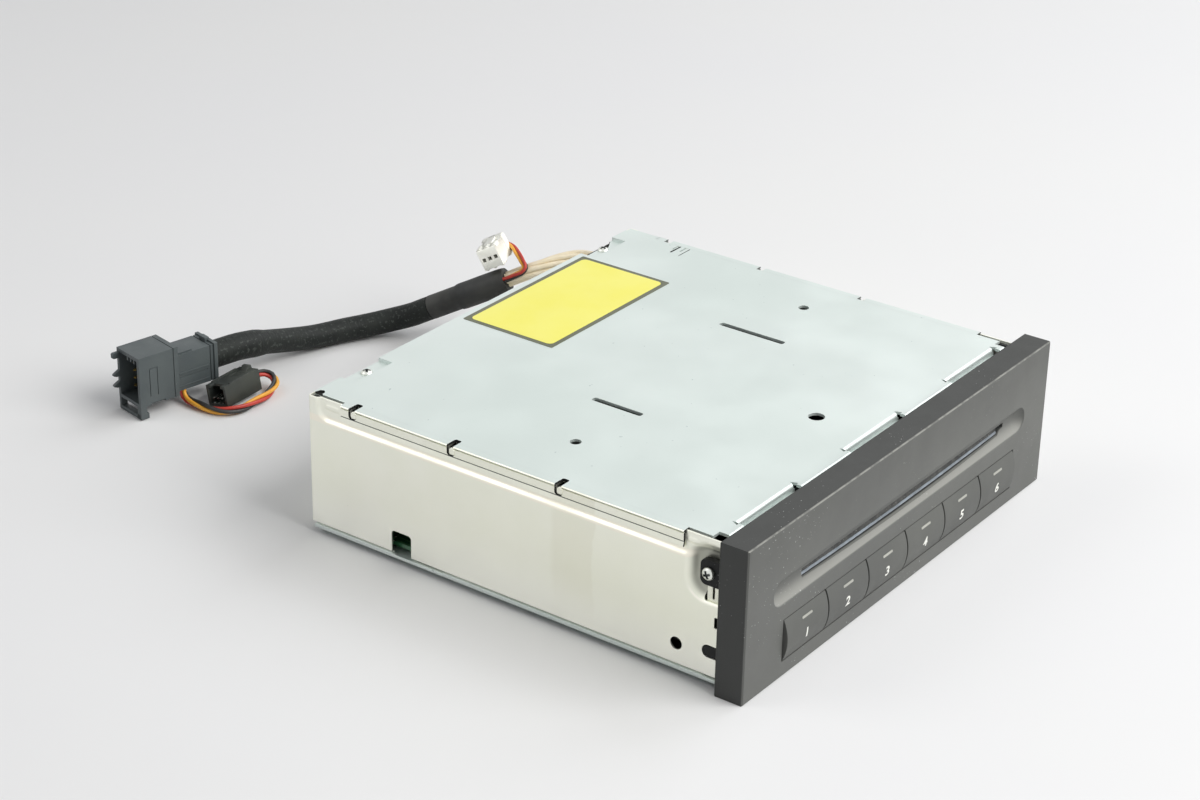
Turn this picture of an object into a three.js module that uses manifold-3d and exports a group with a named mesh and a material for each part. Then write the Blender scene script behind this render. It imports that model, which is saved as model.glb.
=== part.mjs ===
import * as THREE from 'three';
import { ConvexGeometry } from 'three/addons/geometries/ConvexGeometry.js';
import { mergeVertices } from 'three/addons/utils/BufferGeometryUtils.js';
import Module from 'manifold-3d';

// Slot-loading car CD changer in a one-DIN steel case.
// Millimetres. X runs right, Y runs back and Z up. Pieces are drawn with y = 0 on the bezel's front face and
// z = 0 under the bezel, and the finished group is moved back so that its origin is below the middle of its depth.

// Overall sizes
const bezelHeight = 52.5;
const bezelDepth = 10.3;
const caseWidth = 178.4;
const bezelOverhang = 2.8;   // of the bezel past the case on each side
const caseBottom = 2.1;
const caseTop = 50;
const caseRear = 172;
const sheet = 1;             // steel sheet of the case
const gap = 0.3;             // between pieces that touch
const fit = 0.08;            // radial clearance of a shaft in its bore
const over = 1;              // how far a cut runs past the surface

const bezelWidth = caseWidth + 2 * bezelOverhang;
const caseHalf = caseWidth / 2;
const wallInner = caseHalf - sheet;
const caseFront = bezelDepth + gap;

const wasm = await Module();
wasm.setup();

const changer = new THREE.Group();

// Solids and joins
function solid(geometry) {
  const plain = geometry.clone();
  plain.deleteAttribute('normal');
  plain.deleteAttribute('uv');
  const merged = mergeVertices(plain);
  const index = merged.index.array;
  const triangles = [];
  for (let i = 0; i < index.length; i += 3) {
    const [a, b, c] = [index[i], index[i + 1], index[i + 2]];
    if (a !== b && b !== c && c !== a) triangles.push(a, b, c);
  }
  return new wasm.Manifold(new wasm.Mesh({
    numProp: 3,
    vertProperties: new Float32Array(merged.attributes.position.array),
    triVerts: new Uint32Array(triangles),
  }));
}

function join(first, ...others) {
  return others.reduce((whole, piece) => whole.add(piece), first);
}

function cut(first, ...tools) {
  return tools.reduce((whole, tool) => whole.subtract(tool), first);
}

function place(name, body, colour, roughness, metalness) {
  const mesh = body.getMesh();
  const geometry = new THREE.BufferGeometry();
  geometry.setAttribute('position', new THREE.BufferAttribute(new Float32Array(mesh.vertProperties), 3));
  geometry.setIndex(new THREE.BufferAttribute(new Uint32Array(mesh.triVerts), 1));
  geometry.computeVertexNormals();
  const piece = new THREE.Mesh(geometry, new THREE.MeshStandardMaterial({ color: colour, roughness, metalness }));
  piece.name = name;
  changer.add(piece);
}

// Shapes: an axis is the direction that a rod or an outline runs in. An outline across X is drawn in (y, z),
// one across Y in (x, z) and one across Z in (x, y).
const alongX = new THREE.Vector3(1, 0, 0);
const alongY = new THREE.Vector3(0, 1, 0);
const alongZ = new THREE.Vector3(0, 0, 1);
const turns = {
  x: new THREE.Matrix4().makeBasis(alongY, alongZ, alongX),
  y: new THREE.Matrix4().makeBasis(alongX, alongZ, alongY.clone().negate()),
  z: new THREE.Matrix4(),
};

function block(x0, x1, y0, y1, z0, z1) {
  const geometry = new THREE.BoxGeometry(x1 - x0, y1 - y0, z1 - z0);
  geometry.translate((x0 + x1) / 2, (y0 + y1) / 2, (z0 + z1) / 2);
  return solid(geometry);
}

function extrude(outline, axis, from, to, curveSegments = 6) {
  const geometry = new THREE.ExtrudeGeometry(outline, { depth: to - from, bevelEnabled: false, curveSegments });
  geometry.applyMatrix4(turns[axis]);
  const shift = { x: [from, 0, 0], y: [0, to, 0], z: [0, 0, from] }[axis];
  geometry.translate(...shift);
  return solid(geometry);
}

function rod(axis, radius, from, to, a, b, sides = 12) {
  const geometry = new THREE.CylinderGeometry(radius, radius, to - from, sides);
  if (axis === 'x') geometry.rotateZ(-Math.PI / 2);
  if (axis === 'z') geometry.rotateX(Math.PI / 2);
  const middle = (from + to) / 2;
  const centre = { x: [middle, a, b], y: [a, middle, b], z: [a, b, middle] }[axis];
  geometry.translate(...centre);
  return solid(geometry);
}

function polygon(points) {
  return new THREE.Shape(points.map(([a, b]) => new THREE.Vector2(a, b)));
}

function roundedRect(a0, a1, b0, b1, radius) {
  const shape = new THREE.Shape();
  shape.absarc(a1 - radius, b0 + radius, radius, -Math.PI / 2, 0);
  shape.absarc(a1 - radius, b1 - radius, radius, 0, Math.PI / 2);
  shape.absarc(a0 + radius, b1 - radius, radius, Math.PI / 2, Math.PI);
  shape.absarc(a0 + radius, b0 + radius, radius, Math.PI, Math.PI * 3 / 2);
  shape.closePath();
  return shape;
}

// A pocket pressed into the front edge of a side wall, drawn in (y, z) with its two rear corners rounded
function pocketOutline(front, rear, low, high, lowRound, highRound) {
  const shape = new THREE.Shape();
  shape.moveTo(front, low);
  shape.lineTo(rear - lowRound, low);
  shape.absarc(rear - lowRound, low + lowRound, lowRound, -Math.PI / 2, 0);
  shape.absarc(rear - highRound, high - highRound, highRound, 0, Math.PI / 2);
  shape.lineTo(front, high);
  shape.closePath();
  return shape;
}

// A solid whose sides slope from the outline at a0 to the smaller outline at a1, across X
function sloped(a0, mouth, a1, floor) {
  const ring = (x, outline) => outline.getPoints(5).map(({ x: y, y: z }) => new THREE.Vector3(x, y, z));
  return solid(new ConvexGeometry([...ring(a0, mouth), ...ring(a1, floor)]));
}

function mirrored(make) {
  return [make(-1), make(1)];
}

// A block from a to b on either side of the middle, given as distances from it
function sideBlock(side, a, b, y0, y1, z0, z1) {
  return block(Math.min(side * a, side * b), Math.max(side * a, side * b), y0, y1, z0, z1);
}

function sideRod(side, radius, a, b, y, z, sides = 12) {
  return rod('x', radius, Math.min(side * a, side * b), Math.max(side * a, side * b), y, z, sides);
}

// Finishes
const zinc = [0xd6dcda, 0.38, 0.85];
const wallZinc = [0xcfcfc2, 0.42, 0.8];
const steel = [0xc8cacb, 0.3, 0.9];
const darkPlastic = [0x3c3c3e, 0.5, 0];
const bezelPlastic = [0x4a4a4c, 0.55, 0];
const whitePlastic = [0xe8e8e2, 0.45, 0];
const boardGreen = [0x2f6a45, 0.5, 0];
const rubberBlack = [0x202123, 0.85, 0];
const brass = [0xb59a55, 0.35, 0.9];
const connectorGrey = [0x40484a, 0.5, 0];
const cream = [0xf0dfc0, 0.5, 0];
const redLead = [0xc84a3a, 0.5, 0];
const clearPlastic = [0xd9e2e6, 0.2, 0];

// Front bezel: a shell with a scooped trough round the disc slot and a window for the keys
const bezelWall = 2.6;
const bezelRim = 2.2;
const bezelChamfer = 0.4;
const slotMargin = 28.5;       // from the bezel's end to the slot, the trough and the key window
const slotHeight = 2.4;
const slotZ = 29.4;
const troughMargin = 15.2;
const troughHeight = 9.4;
const troughDepth = 2.2;
const troughZ = 29.8;
const troughBack = 0.9;
const troughSides = 28;
const windowMargin = 20.9;
const windowBottom = 5.4;
const windowTop = 20.2;

const bezelHalf = bezelWidth / 2;
const slotHalf = bezelHalf - slotMargin;
const troughLength = bezelWidth - 2 * troughMargin;
const windowWidth = bezelWidth - 2 * windowMargin;
const troughHalfHeight = troughHeight / 2;
const troughRadius = (troughHalfHeight ** 2 + troughDepth ** 2) / (2 * troughDepth);
const backingRear = bezelWall + troughBack;

function scoop() {
  const straight = troughLength - troughHeight;
  const points = [];
  const capSteps = 8;
  for (let i = 0; i <= capSteps; i += 1) {
    const angle = -Math.PI / 2 + Math.PI / 2 * i / capSteps;
    points.push([troughRadius * Math.cos(angle), troughRadius * Math.sin(angle) - straight / 2]);
  }
  for (let i = 0; i <= capSteps; i += 1) {
    const angle = Math.PI / 2 * i / capSteps;
    points.push([troughRadius * Math.cos(angle), troughRadius * Math.sin(angle) + straight / 2]);
  }
  points[0][0] = 0;
  points[points.length - 1][0] = 0;
  const profile = points.map(([x, y]) => new THREE.Vector2(x, y));
  const geometry = new THREE.LatheGeometry(profile, troughSides);
  geometry.rotateZ(Math.PI / 2);
  geometry.translate(0, troughDepth - troughRadius, troughZ);
  return solid(geometry);
}

function bezelBlank() {
  const outline = polygon([[-bezelHalf, 0], [bezelHalf, 0], [bezelHalf, bezelHeight], [-bezelHalf, bezelHeight]]);
  const geometry = new THREE.ExtrudeGeometry(outline, {
    depth: bezelDepth - 2 * bezelChamfer,
    bevelEnabled: true,
    bevelThickness: bezelChamfer,
    bevelSize: bezelChamfer,
    bevelOffset: -bezelChamfer,
    bevelSegments: 1,
  });
  geometry.applyMatrix4(turns.y);
  geometry.translate(0, bezelDepth - bezelChamfer, 0);
  return solid(geometry);
}

// Side lugs, which the bezel screws go through, and the tongues below them
const lugThick = 1.8;
const lugRear = 18.8;
const lugZ = 38.7;
const lugHeight = 8.6;
const lugRound = 2;
const pocketDepth = 2.6;
const screwY = 15.6;
const lugHole = 1.5;
const tongueRear = 16.6;
const tongueZ = 12.5;
const tongueHeight = 3.7;
const tongueThick = 1.6;

const pocketFloor = caseHalf - pocketDepth;
const lugInner = pocketFloor + gap;
const lugOuter = lugInner + lugThick;

function lug(side) {
  const ear = extrude(
    roundedRect(bezelDepth - bezelWall, lugRear, lugZ - lugHeight / 2, lugZ + lugHeight / 2, lugRound), 'x',
    Math.min(side * lugInner, side * lugOuter), Math.max(side * lugInner, side * lugOuter), 3);
  const root = sideBlock(side, lugInner, bezelHalf - bezelRim + over, bezelDepth - bezelWall, bezelDepth,
    lugZ - lugHeight / 2, lugZ + lugHeight / 2);
  const hole = sideRod(side, lugHole, lugInner - over, lugOuter + over, screwY, lugZ);
  return cut(join(ear, root), hole);
}

function tongue(side) {
  const round = tongueHeight / 2;
  const inner = caseHalf - tongueThick;
  const flat = sideBlock(side, inner, caseHalf, bezelDepth - bezelWall, tongueRear - round, tongueZ - round,
    tongueZ + round);
  const root = sideBlock(side, inner, bezelHalf - bezelRim + over, bezelDepth - bezelWall, bezelDepth,
    tongueZ - round, tongueZ + round);
  return join(flat, root, sideRod(side, round, inner, caseHalf, tongueRear - round, tongueZ));
}

// Bosses for the key board, which is held by staked pins, and the ears of the dust flap
const bossBeside = 3.9;        // from the key window to the bosses
const bossRadius = 2.2;
const pinRadius = 0.8;
const boardFront = 8.6;
const boardThick = 1.2;
const bossLow = 7.5;
const bossHigh = 18.3;
const flapPinRadius = 1;
const flapPinY = 4.9;
const flapPinZ = 33.6;
const flapEarBeside = 3;       // from the slot to the flap's ears
const flapEarThick = 2.5;
const flapEarRim = 1.1;
const ribZ = 22.9;
const ribThick = 1.2;

const bossSeats = [bossLow, bossHigh];
const bossX = windowWidth / 2 + bossBeside;
const flapEarX = slotHalf + flapEarBeside;

function boss(side, z) {
  const post = rod('y', bossRadius, bezelWall - over, boardFront - gap, side * bossX, z, 12);
  const pin = rod('y', pinRadius, boardFront - over, bezelDepth, side * bossX, z, 8);
  return join(post, pin);
}

function flapEar(side) {
  const reach = flapPinRadius + flapEarRim;
  const ear = sideBlock(side, flapEarX, flapEarX + flapEarThick, backingRear - troughBack, flapPinY + reach,
    flapPinZ - reach, flapPinZ + reach);
  const bore = sideRod(side, flapPinRadius + fit, flapEarX - over, flapEarX + flapEarThick + over, flapPinY,
    flapPinZ);
  return cut(ear, bore);
}

function bezel() {
  const shell = cut(
    bezelBlank(),
    block(-bezelHalf + bezelRim, bezelHalf - bezelRim, bezelWall, bezelDepth + over, bezelRim,
      bezelHeight - bezelRim),
  );
  const backHalf = troughLength / 2 + bezelRim;
  const backing = block(-backHalf, backHalf, bezelWall - over, backingRear, troughZ - troughHalfHeight - bezelRim / 2,
    troughZ + troughHalfHeight + bezelRim / 2);
  const rib = block(-bezelHalf + bezelRim / 2, bezelHalf - bezelRim / 2, bezelWall - over, boardFront - gap, ribZ,
    ribZ + ribThick);
  const held = join(
    shell, backing, rib, ...mirrored(lug), ...mirrored(tongue), ...mirrored(flapEar),
    ...bossSeats.flatMap((z) => mirrored((side) => boss(side, z))),
  );
  const slot = block(-slotHalf, slotHalf, -over, backingRear + over, slotZ - slotHeight / 2,
    slotZ + slotHeight / 2);
  const window = block(-windowWidth / 2, windowWidth / 2, -over, bezelWall + over, windowBottom, windowTop);
  return cut(held, scoop(), slot, window);
}

place('front_bezel', bezel(), ...bezelPlastic);

// Dust flap: hangs on its own pin behind the slot and swings in as a disc passes
const flapThick = 0.8;
const flapBottom = 26.4;

function dustFlap() {
  const front = backingRear + gap;
  const half = flapEarX - gap;
  const plate = block(-half, half, front, front + flapThick, flapBottom, flapPinZ);
  const pinHalf = flapEarX + flapEarThick;
  return join(plate, rod('x', flapPinRadius, -pinHalf, pinHalf, flapPinY, flapPinZ));
}

place('slot_flap', dustFlap(), ...clearPlastic);

// Disc keys: faces crowned from top to bottom, a flange behind the bezel wall and a stem to the switch
const keyCount = 6;
const keyGap = 0.3;
const keyCrown = 1.6;
const keyFlange = 1;
const keyFlangeThick = 1;
const keyStemRadius = 2;
const keyTravel = 0.5;
const keySteps = 10;
const switchTop = 6.8;
const switchBody = 1;
const switchSize = 6;
const switchButton = 1.7;
const lampZ = 17.5;
const lampSize = 1.6;
const lampDeep = 0.6;

const keyWidth = (windowWidth - (keyCount + 1) * keyGap) / keyCount;
const keyBottom = windowBottom + gap;
const keyTop = windowTop - gap;
const keyMiddle = (keyBottom + keyTop) / 2;
const keyBack = bezelWall + gap + keyFlangeThick;
const keyX = Array.from({ length: keyCount }, (_, i) => (i - (keyCount - 1) / 2) * (keyWidth + keyGap));

function key(x) {
  const half = (keyTop - keyBottom) / 2;
  const radius = (half ** 2 + keyCrown ** 2) / (2 * keyCrown);
  const spread = Math.asin(half / radius);
  const face = Array.from({ length: keySteps + 1 }, (_, i) => {
    const angle = spread * (2 * i / keySteps - 1);
    return [radius - keyCrown - radius * Math.cos(angle), keyMiddle + radius * Math.sin(angle)];
  });
  const flangeFront = bezelWall + gap;
  const outline = polygon([
    ...face, [flangeFront, keyTop], [flangeFront, keyTop + keyFlange], [keyBack, keyTop + keyFlange],
    [keyBack, keyBottom - keyFlange], [flangeFront, keyBottom - keyFlange], [flangeFront, keyBottom],
  ]);
  const body = extrude(outline, 'x', x - keyWidth / 2, x + keyWidth / 2);
  const stem = rod('y', keyStemRadius, keyBack - over, switchTop - gap - keyTravel, x, keyMiddle, 12);
  return join(body, stem);
}

keyX.forEach((x, i) => place(`key_${i + 1}`, key(x), ...bezelPlastic));

// Key board with its switches and lamps
const boardMargin = 3;
const boardHalf = bossX + boardMargin;
const boardLow = bezelRim + 2 * over;
const boardHigh = ribZ - over;

function keyBoard() {
  const plate = block(-boardHalf, boardHalf, boardFront, boardFront + boardThick, boardLow, boardHigh);
  const holes = bossSeats.flatMap((z) => mirrored((side) => (
    rod('y', pinRadius + gap, boardFront - over, boardFront + boardThick + over, side * bossX, z, 8))));
  return join(cut(plate, ...holes), ...keyX.map(keySwitch), ...keyX.map(keyLamp));
}

function keySwitch(x) {
  const body = block(x - switchSize / 2, x + switchSize / 2, boardFront - switchBody, boardFront + boardThick / 2,
    keyMiddle - switchSize / 2, keyMiddle + switchSize / 2);
  return join(body, rod('y', switchButton, switchTop, boardFront, x, keyMiddle, 8));
}

function keyLamp(x) {
  return block(x - lampSize / 2, x + lampSize / 2, boardFront - lampDeep, boardFront + boardThick / 2,
    lampZ - lampSize / 2, lampZ + lampSize / 2);
}

place('key_board', keyBoard(), ...boardGreen);

// Case frame: side walls with strips pressed in for the cover flanges, a pocket for each lug, and a rear wall
const stripInset = 1.3;
const shoulderHigh = 2.7;    // of the slope from the wall down to the strip
const lipTop = 3.4;
const footHigh = 0.5;        // of the slope from the wall down to the lip's strip
const flangeBottom = 44.3;
const flangeFront = 24.7;
const flangeRearInset = 13.3;
const stripRearInset = 4;
const topFlangeWide = 4.9;
const rearFlangeDepth = 8;
const rearFlangeInset = 3;
const recessDrop = 1.3;
const pocketRear = 24;
const pocketLow = 28.3;
const pocketHigh = 46.2;
const pocketRound = 7;
const pocketTopRound = 4;
const pocketSlope = 3.6;
const pocketTopSlope = 1;
const windowFront = 129.4;
const windowBack = 137.5;
const windowHead = 12;
const windowRadius = 1;
const wallHoleY = 26.2;
const wallHoleZ = 11.1;
const wallHoleRadius = 2.15;
const notchLow = 20;
const notchHigh = 24;
const notchDepth = 2;
const glandInset = 8.2;
const glandZ = 38;
const glandHole = 6;
const ventCount = 4;
const ventLength = 12;
const ventWidth = 2;
const ventPitch = 5;
const ventX = -20;
const ventZ = 26;
const hookShares = [0.412, 0.656, 0.89];
const hookHalf = 1.7;
const hookTab = 0.9;

const stripOuter = caseHalf - stripInset;
const stripRear = caseRear - stripRearInset;
const flangeRear = caseRear - flangeRearInset;
const stripInner = stripOuter - sheet;
const topFlangeIn = stripOuter - topFlangeWide;
const rearFlangeHalf = topFlangeIn - rearFlangeInset;
const glandX = wallInner - glandInset;
const bottomTop = caseBottom + sheet;
const frameBottom = bottomTop + gap;
const coverUnder = caseTop - sheet;
const frameTop = coverUnder - gap;
const cornerTop = caseTop - gap / 3;
const floorOfRecess = coverUnder - recessDrop;
const rearFlangeTop = floorOfRecess - gap;
const coverHalf = stripInner - gap;
const hookY = hookShares.map((share) => share * caseRear);
const lowStep = lipTop + gap;
const highStep = flangeBottom - gap;

function wallOutline(side, top) {
  const low = [[stripOuter, frameBottom], [stripOuter, lowStep], [caseHalf, lowStep + footHigh]];
  const lowBack = [[wallInner, lowStep + footHigh + sheet / 2], [stripInner, lowStep + sheet / 2],
    [stripInner, frameBottom]];
  return polygon([...low, ...top, ...lowBack].map(([x, z]) => [side * x, z]));
}

// The wall's upper edge: in the strip beside the cover, under its flange, or plain at the rear
function stripTops() {
  const rise = [[caseHalf, highStep - shoulderHigh], [stripOuter, highStep]];
  const fall = [[stripInner, highStep - sheet / 2], [wallInner, highStep - shoulderHigh - sheet / 2]];
  return {
    open: [...rise, [stripOuter, cornerTop], [stripInner, cornerTop], ...fall],
    under: [...rise, [stripOuter, frameTop], [topFlangeIn, frameTop], [topFlangeIn, frameTop - sheet],
      [stripInner, frameTop - sheet], ...fall],
    plain: [[caseHalf, cornerTop], [coverHalf + gap, cornerTop], [coverHalf + gap, cornerTop - sheet],
      [wallInner, cornerTop - sheet]],
  };
}

function pocket(side, grown) {
  const outline = (slope, topSlope) => pocketOutline(caseFront - (grown ? 0 : over), pocketRear + grown - slope,
    pocketLow - grown + slope, pocketHigh + grown - topSlope, pocketRound - slope / 2, pocketTopRound - slope / 2);
  const mouthX = grown ? caseHalf : caseHalf + over / 2;
  return sloped(side * mouthX, outline(0, 0), side * (pocketFloor - grown), outline(pocketSlope, pocketTopSlope));
}

function sideWall(side) {
  const tops = stripTops();
  const front = extrude(wallOutline(side, tops.open), 'y', caseFront, flangeFront);
  const middle = extrude(wallOutline(side, tops.under), 'y', flangeFront - gap / 3, flangeRear + gap / 3);
  const back = extrude(wallOutline(side, tops.open), 'y', flangeRear, stripRear + gap / 3);
  const rear = extrude(wallOutline(side, tops.plain), 'y', stripRear, caseRear);
  const rearWeb = sideBlock(side, stripInner, caseHalf, stripRear, stripRear + sheet, highStep - 2 * shoulderHigh,
    frameTop);
  const tongueRound = tongueHeight / 2 + gap;
  return cut(
    join(front, middle, back, rear, rearWeb, pocket(side, sheet)),
    pocket(side, 0),
    sideRod(side, lugHole, pocketFloor - sheet - over, caseHalf, screwY, lugZ),
    sideBlock(side, caseHalf - tongueThick - gap, caseHalf + over, caseFront - over, tongueRear - tongueRound + gap,
      tongueZ - tongueRound, tongueZ + tongueRound),
    sideRod(side, tongueRound, caseHalf - tongueThick - gap, caseHalf + over, tongueRear - tongueRound + gap,
      tongueZ),
    sideRod(side, wallHoleRadius, wallInner - over, caseHalf + over, wallHoleY, wallHoleZ),
    sideBlock(side, wallInner - over, caseHalf + over, caseFront - over, caseFront + notchDepth, notchLow,
      notchHigh),
  );
}

function vents() {
  return Array.from({ length: ventCount }, (_, i) => {
    const x = ventX + (i - (ventCount - 1) / 2) * ventPitch;
    return extrude(roundedRect(x - ventWidth / 2, x + ventWidth / 2, ventZ - ventLength / 2, ventZ + ventLength / 2,
      ventWidth / 2), 'y', caseRear - sheet - over, caseRear + over, 2);
  });
}

// Screws and the holes for them
const screwShank = 1.2;
const screwHead = 2.2;
const screwHeadHigh = 1.1;
const shankHole = screwShank + gap;

function hookTabs(side) {
  return hookY.map((y) => sideBlock(side, stripOuter - sheet, stripOuter, y - hookTab, y + hookTab,
    frameTop - sheet / 2, caseTop - sheet / 2));
}

const leftScrewInset = 25.7;   // from the case's sides and rear
const rightScrewInset = 21.2;
const coverScrewInset = 3;
const coverScrews = [leftScrewInset - caseHalf, caseHalf - rightScrewInset].map((x) => [x, caseRear - coverScrewInset]);

function caseFrame() {
  const walls = mirrored(sideWall);
  const rearWall = block(-wallInner - sheet / 2, wallInner + sheet / 2, caseRear - sheet, caseRear, frameBottom,
    rearFlangeTop);
  const rearFlange = block(-rearFlangeHalf, rearFlangeHalf, caseRear - rearFlangeDepth, caseRear,
    rearFlangeTop - sheet, rearFlangeTop);
  const frame = join(...walls, rearWall, rearFlange, ...mirrored(hookTabs).flat());
  const sideWindow = extrude(roundedRect(windowFront, windowBack, frameBottom - over, windowHead, windowRadius), 'x',
    -caseHalf - over, -stripInner + over);
  const screwHoles = coverScrews.map(([x, y]) => (
    rod('z', shankHole, rearFlangeTop - sheet - over, rearFlangeTop + over, x, y, 12)));
  const cable = rod('y', glandHole, caseRear - sheet - over, caseRear + over, glandX, glandZ, 18);
  return cut(frame, sideWindow, cable, ...vents(), ...screwHoles);
}

place('case_frame', caseFrame(), ...wallZinc);

// Top cover: flanges folded down over the strips, a stepped front edge, tool slots and two screw recesses
const bendRadius = 2;
const noseRear = 16.3;
const noseAhead = 3;           // of every other length of the nose past the one beside it
const noseDrop = 3.6;
const noseEndShare = 0.96;
const noseRadius = 1.3;
const recessHalf = 9.5;
const recessDeep = 6;
const longSlotShares = [[-0.388, 0.4576, 0.5709], [0.4406, 0.4221, 0.5727]];
const longSlotWidth = 2.3;
const topHoleShares = [[-0.703, 0.4895], [-0.0112, 0.2], [0.7646, 0.4837]];
const frontHoleRadius = 2.8;
const sideHoleRadius = 1.9;
const frontNotchShares = [-0.8716, -0.507, -0.1778, 0.2042, 0.5517, 0.9256];
const frontNotchHalf = 1.1;
const slitLong = 7.2;
const slitWidth = 0.5;
const slitRear = 148.3;
const slitPitch = 3.3;

const recessFront = caseRear - recessDeep;
const longSlots = longSlotShares.map(([x, from, to]) => [x * caseHalf, from * caseRear, to * caseRear]);
const topHoleRadii = [sideHoleRadius, frontHoleRadius, sideHoleRadius];
const topHoles = topHoleShares.map(([x, y], i) => [x * caseHalf, y * caseRear, topHoleRadii[i]]);
const frontNotches = frontNotchShares.map((share) => share * coverHalf);
const slits = [slitRear - slitPitch, slitRear];

function coverSection() {
  const shape = new THREE.Shape();
  const bendX = caseHalf - bendRadius;
  const bendZ = caseTop - bendRadius;
  shape.moveTo(caseHalf, flangeBottom);
  shape.absarc(bendX, bendZ, bendRadius, 0, Math.PI / 2);
  shape.absarc(-bendX, bendZ, bendRadius, Math.PI / 2, Math.PI);
  shape.lineTo(-caseHalf, flangeBottom);
  shape.lineTo(-wallInner, flangeBottom);
  shape.absarc(-bendX, bendZ, bendRadius - sheet, Math.PI, Math.PI / 2, true);
  shape.absarc(bendX, bendZ, bendRadius - sheet, Math.PI / 2, 0, true);
  shape.lineTo(wallInner, flangeBottom);
  shape.closePath();
  return shape;
}

function noseSection(rear) {
  const shape = new THREE.Shape();
  const front = rear - noseRadius;
  const low = caseTop - noseDrop;
  shape.moveTo(rear + over, caseTop);
  shape.absarc(rear, caseTop - noseRadius, noseRadius, Math.PI / 2, Math.PI);
  shape.lineTo(front, low + sheet);
  shape.lineTo(caseFront + gap, low + sheet);
  shape.lineTo(caseFront + gap, low);
  shape.lineTo(front + sheet, low);
  shape.lineTo(front + sheet, caseTop - noseRadius);
  shape.lineTo(rear, coverUnder);
  shape.lineTo(rear + over, coverUnder);
  shape.closePath();
  return shape;
}

// The nose runs across in lengths that lie forward and back by turns
function nose() {
  const ends = [-noseEndShare * coverHalf, ...frontNotches, noseEndShare * coverHalf];
  return ends.slice(1).flatMap((to, i) => {
    const rear = i % 2 ? noseRear : noseRear - noseAhead;
    const from = ends[i];
    return [extrude(noseSection(rear), 'x', from, to, 3), block(from, to, rear, noseRear + over, coverUnder, caseTop)];
  });
}

function recess([x]) {
  const outer = block(x - recessHalf - sheet, x + recessHalf + sheet, recessFront - sheet, caseRear, floorOfRecess,
    caseTop);
  const inner = block(x - recessHalf, x + recessHalf, recessFront, caseRear + over, floorOfRecess + sheet,
    caseTop + over);
  return [outer, inner];
}

function topCover() {
  const middle = extrude(coverSection(), 'y', flangeFront + gap, flangeRear - gap, 3);
  const front = block(-coverHalf, coverHalf, noseRear, flangeFront + over, coverUnder, caseTop);
  const rear = block(-coverHalf, coverHalf, flangeRear - over, caseRear, coverUnder, caseTop);
  const recesses = coverScrews.map(recess);
  const whole = join(middle, front, rear, ...nose(), ...recesses.map(([outer]) => outer));
  const above = caseTop + over;
  const below = floorOfRecess - over;
  const openings = [
    ...recesses.map(([, inner]) => inner),
    ...coverScrews.map(([x, y]) => rod('z', shankHole, below, above, x, y, 12)),
    ...topHoles.map(([x, y, r]) => rod('z', r, below, above, x, y, 16)),
    ...longSlots.map(([x, y0, y1]) => extrude(
      roundedRect(x - longSlotWidth / 2, x + longSlotWidth / 2, y0, y1, longSlotWidth / 2 - gap), 'z', below, above, 2)),
    ...frontNotches.map((x) => extrude(polygon([
      [x - frontNotchHalf, noseRear - noseRadius - over / 2], [x + frontNotchHalf, noseRear - noseRadius - over / 2],
      [x, noseRear + noseRadius / 2],
    ]), 'z', caseTop - noseDrop + 2 * sheet, above)),
    ...hookY.flatMap((y) => mirrored((side) => sideBlock(side, stripOuter - sheet - gap, caseHalf + over,
      y - hookHalf, y + hookHalf, frameTop - sheet, above))),
    ...slits.map((y) => block(caseHalf - slitLong, caseHalf + over, y - slitWidth / 2, y + slitWidth / 2, flangeBottom - over,
      above)),
  ];
  return cut(whole, ...openings);
}

place('top_cover', topCover(), ...zinc);

// Bottom cover: a tray with low lips outside the walls and pressed beads
const lipFront = 16;
const lipRearInset = 2;
const lipGapFront = 116.5;
const beadLength = 120;
const beadWidth = 6;
const beadDepth = 0.5;
const beadX = 45;
const beadFront = 30;

function bottomCover() {
  const plate = block(-caseHalf, caseHalf, caseFront + gap, caseRear - sheet - gap, caseBottom, bottomTop);
  const lips = mirrored((side) => sideBlock(side, wallInner, caseHalf, lipFront, caseRear - lipRearInset,
    caseBottom, lipTop));
  const lipGap = block(-caseHalf - over, -wallInner + gap / 2, lipGapFront, windowBack + over / 2, bottomTop,
    lipTop + over);
  const beads = mirrored((side) => extrude(roundedRect(side * beadX - beadWidth / 2, side * beadX + beadWidth / 2,
    beadFront, beadFront + beadLength, beadWidth / 2), 'z', caseBottom - over, caseBottom + beadDepth, 4));
  return cut(join(plate, ...lips), lipGap, ...beads);
}

place('bottom_cover', bottomCover(), ...wallZinc);

// Screws
const bezelScrewHead = 2.35;
const bezelScrewHigh = 1.4;
const bezelScrewLong = 6;
const crossWidth = 0.6;
const crossLength = 2.4;
const crossDepth = 0.7;

function bezelScrew(side) {
  const seat = lugOuter + gap;
  const head = sideRod(side, bezelScrewHead, seat, seat + bezelScrewHigh, screwY, lugZ);
  const shank = sideRod(side, screwShank, seat - bezelScrewLong, seat + gap, screwY, lugZ, 12);
  const top = seat + bezelScrewHigh;
  const crossA = sideBlock(side, top - crossDepth, top + over, screwY - crossWidth / 2, screwY + crossWidth / 2,
    lugZ - crossLength / 2, lugZ + crossLength / 2);
  const crossB = sideBlock(side, top - crossDepth, top + over, screwY - crossLength / 2, screwY + crossLength / 2,
    lugZ - crossWidth / 2, lugZ + crossWidth / 2);
  return cut(join(head, shank), crossA, crossB);
}

function coverScrew([x, y]) {
  const seat = floorOfRecess + sheet + gap / 3;
  const head = rod('z', screwHead, seat, seat + screwHeadHigh, x, y);
  return join(head, rod('z', screwShank, rearFlangeTop - 3 * sheet, seat + gap, x, y, 12));
}

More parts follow.
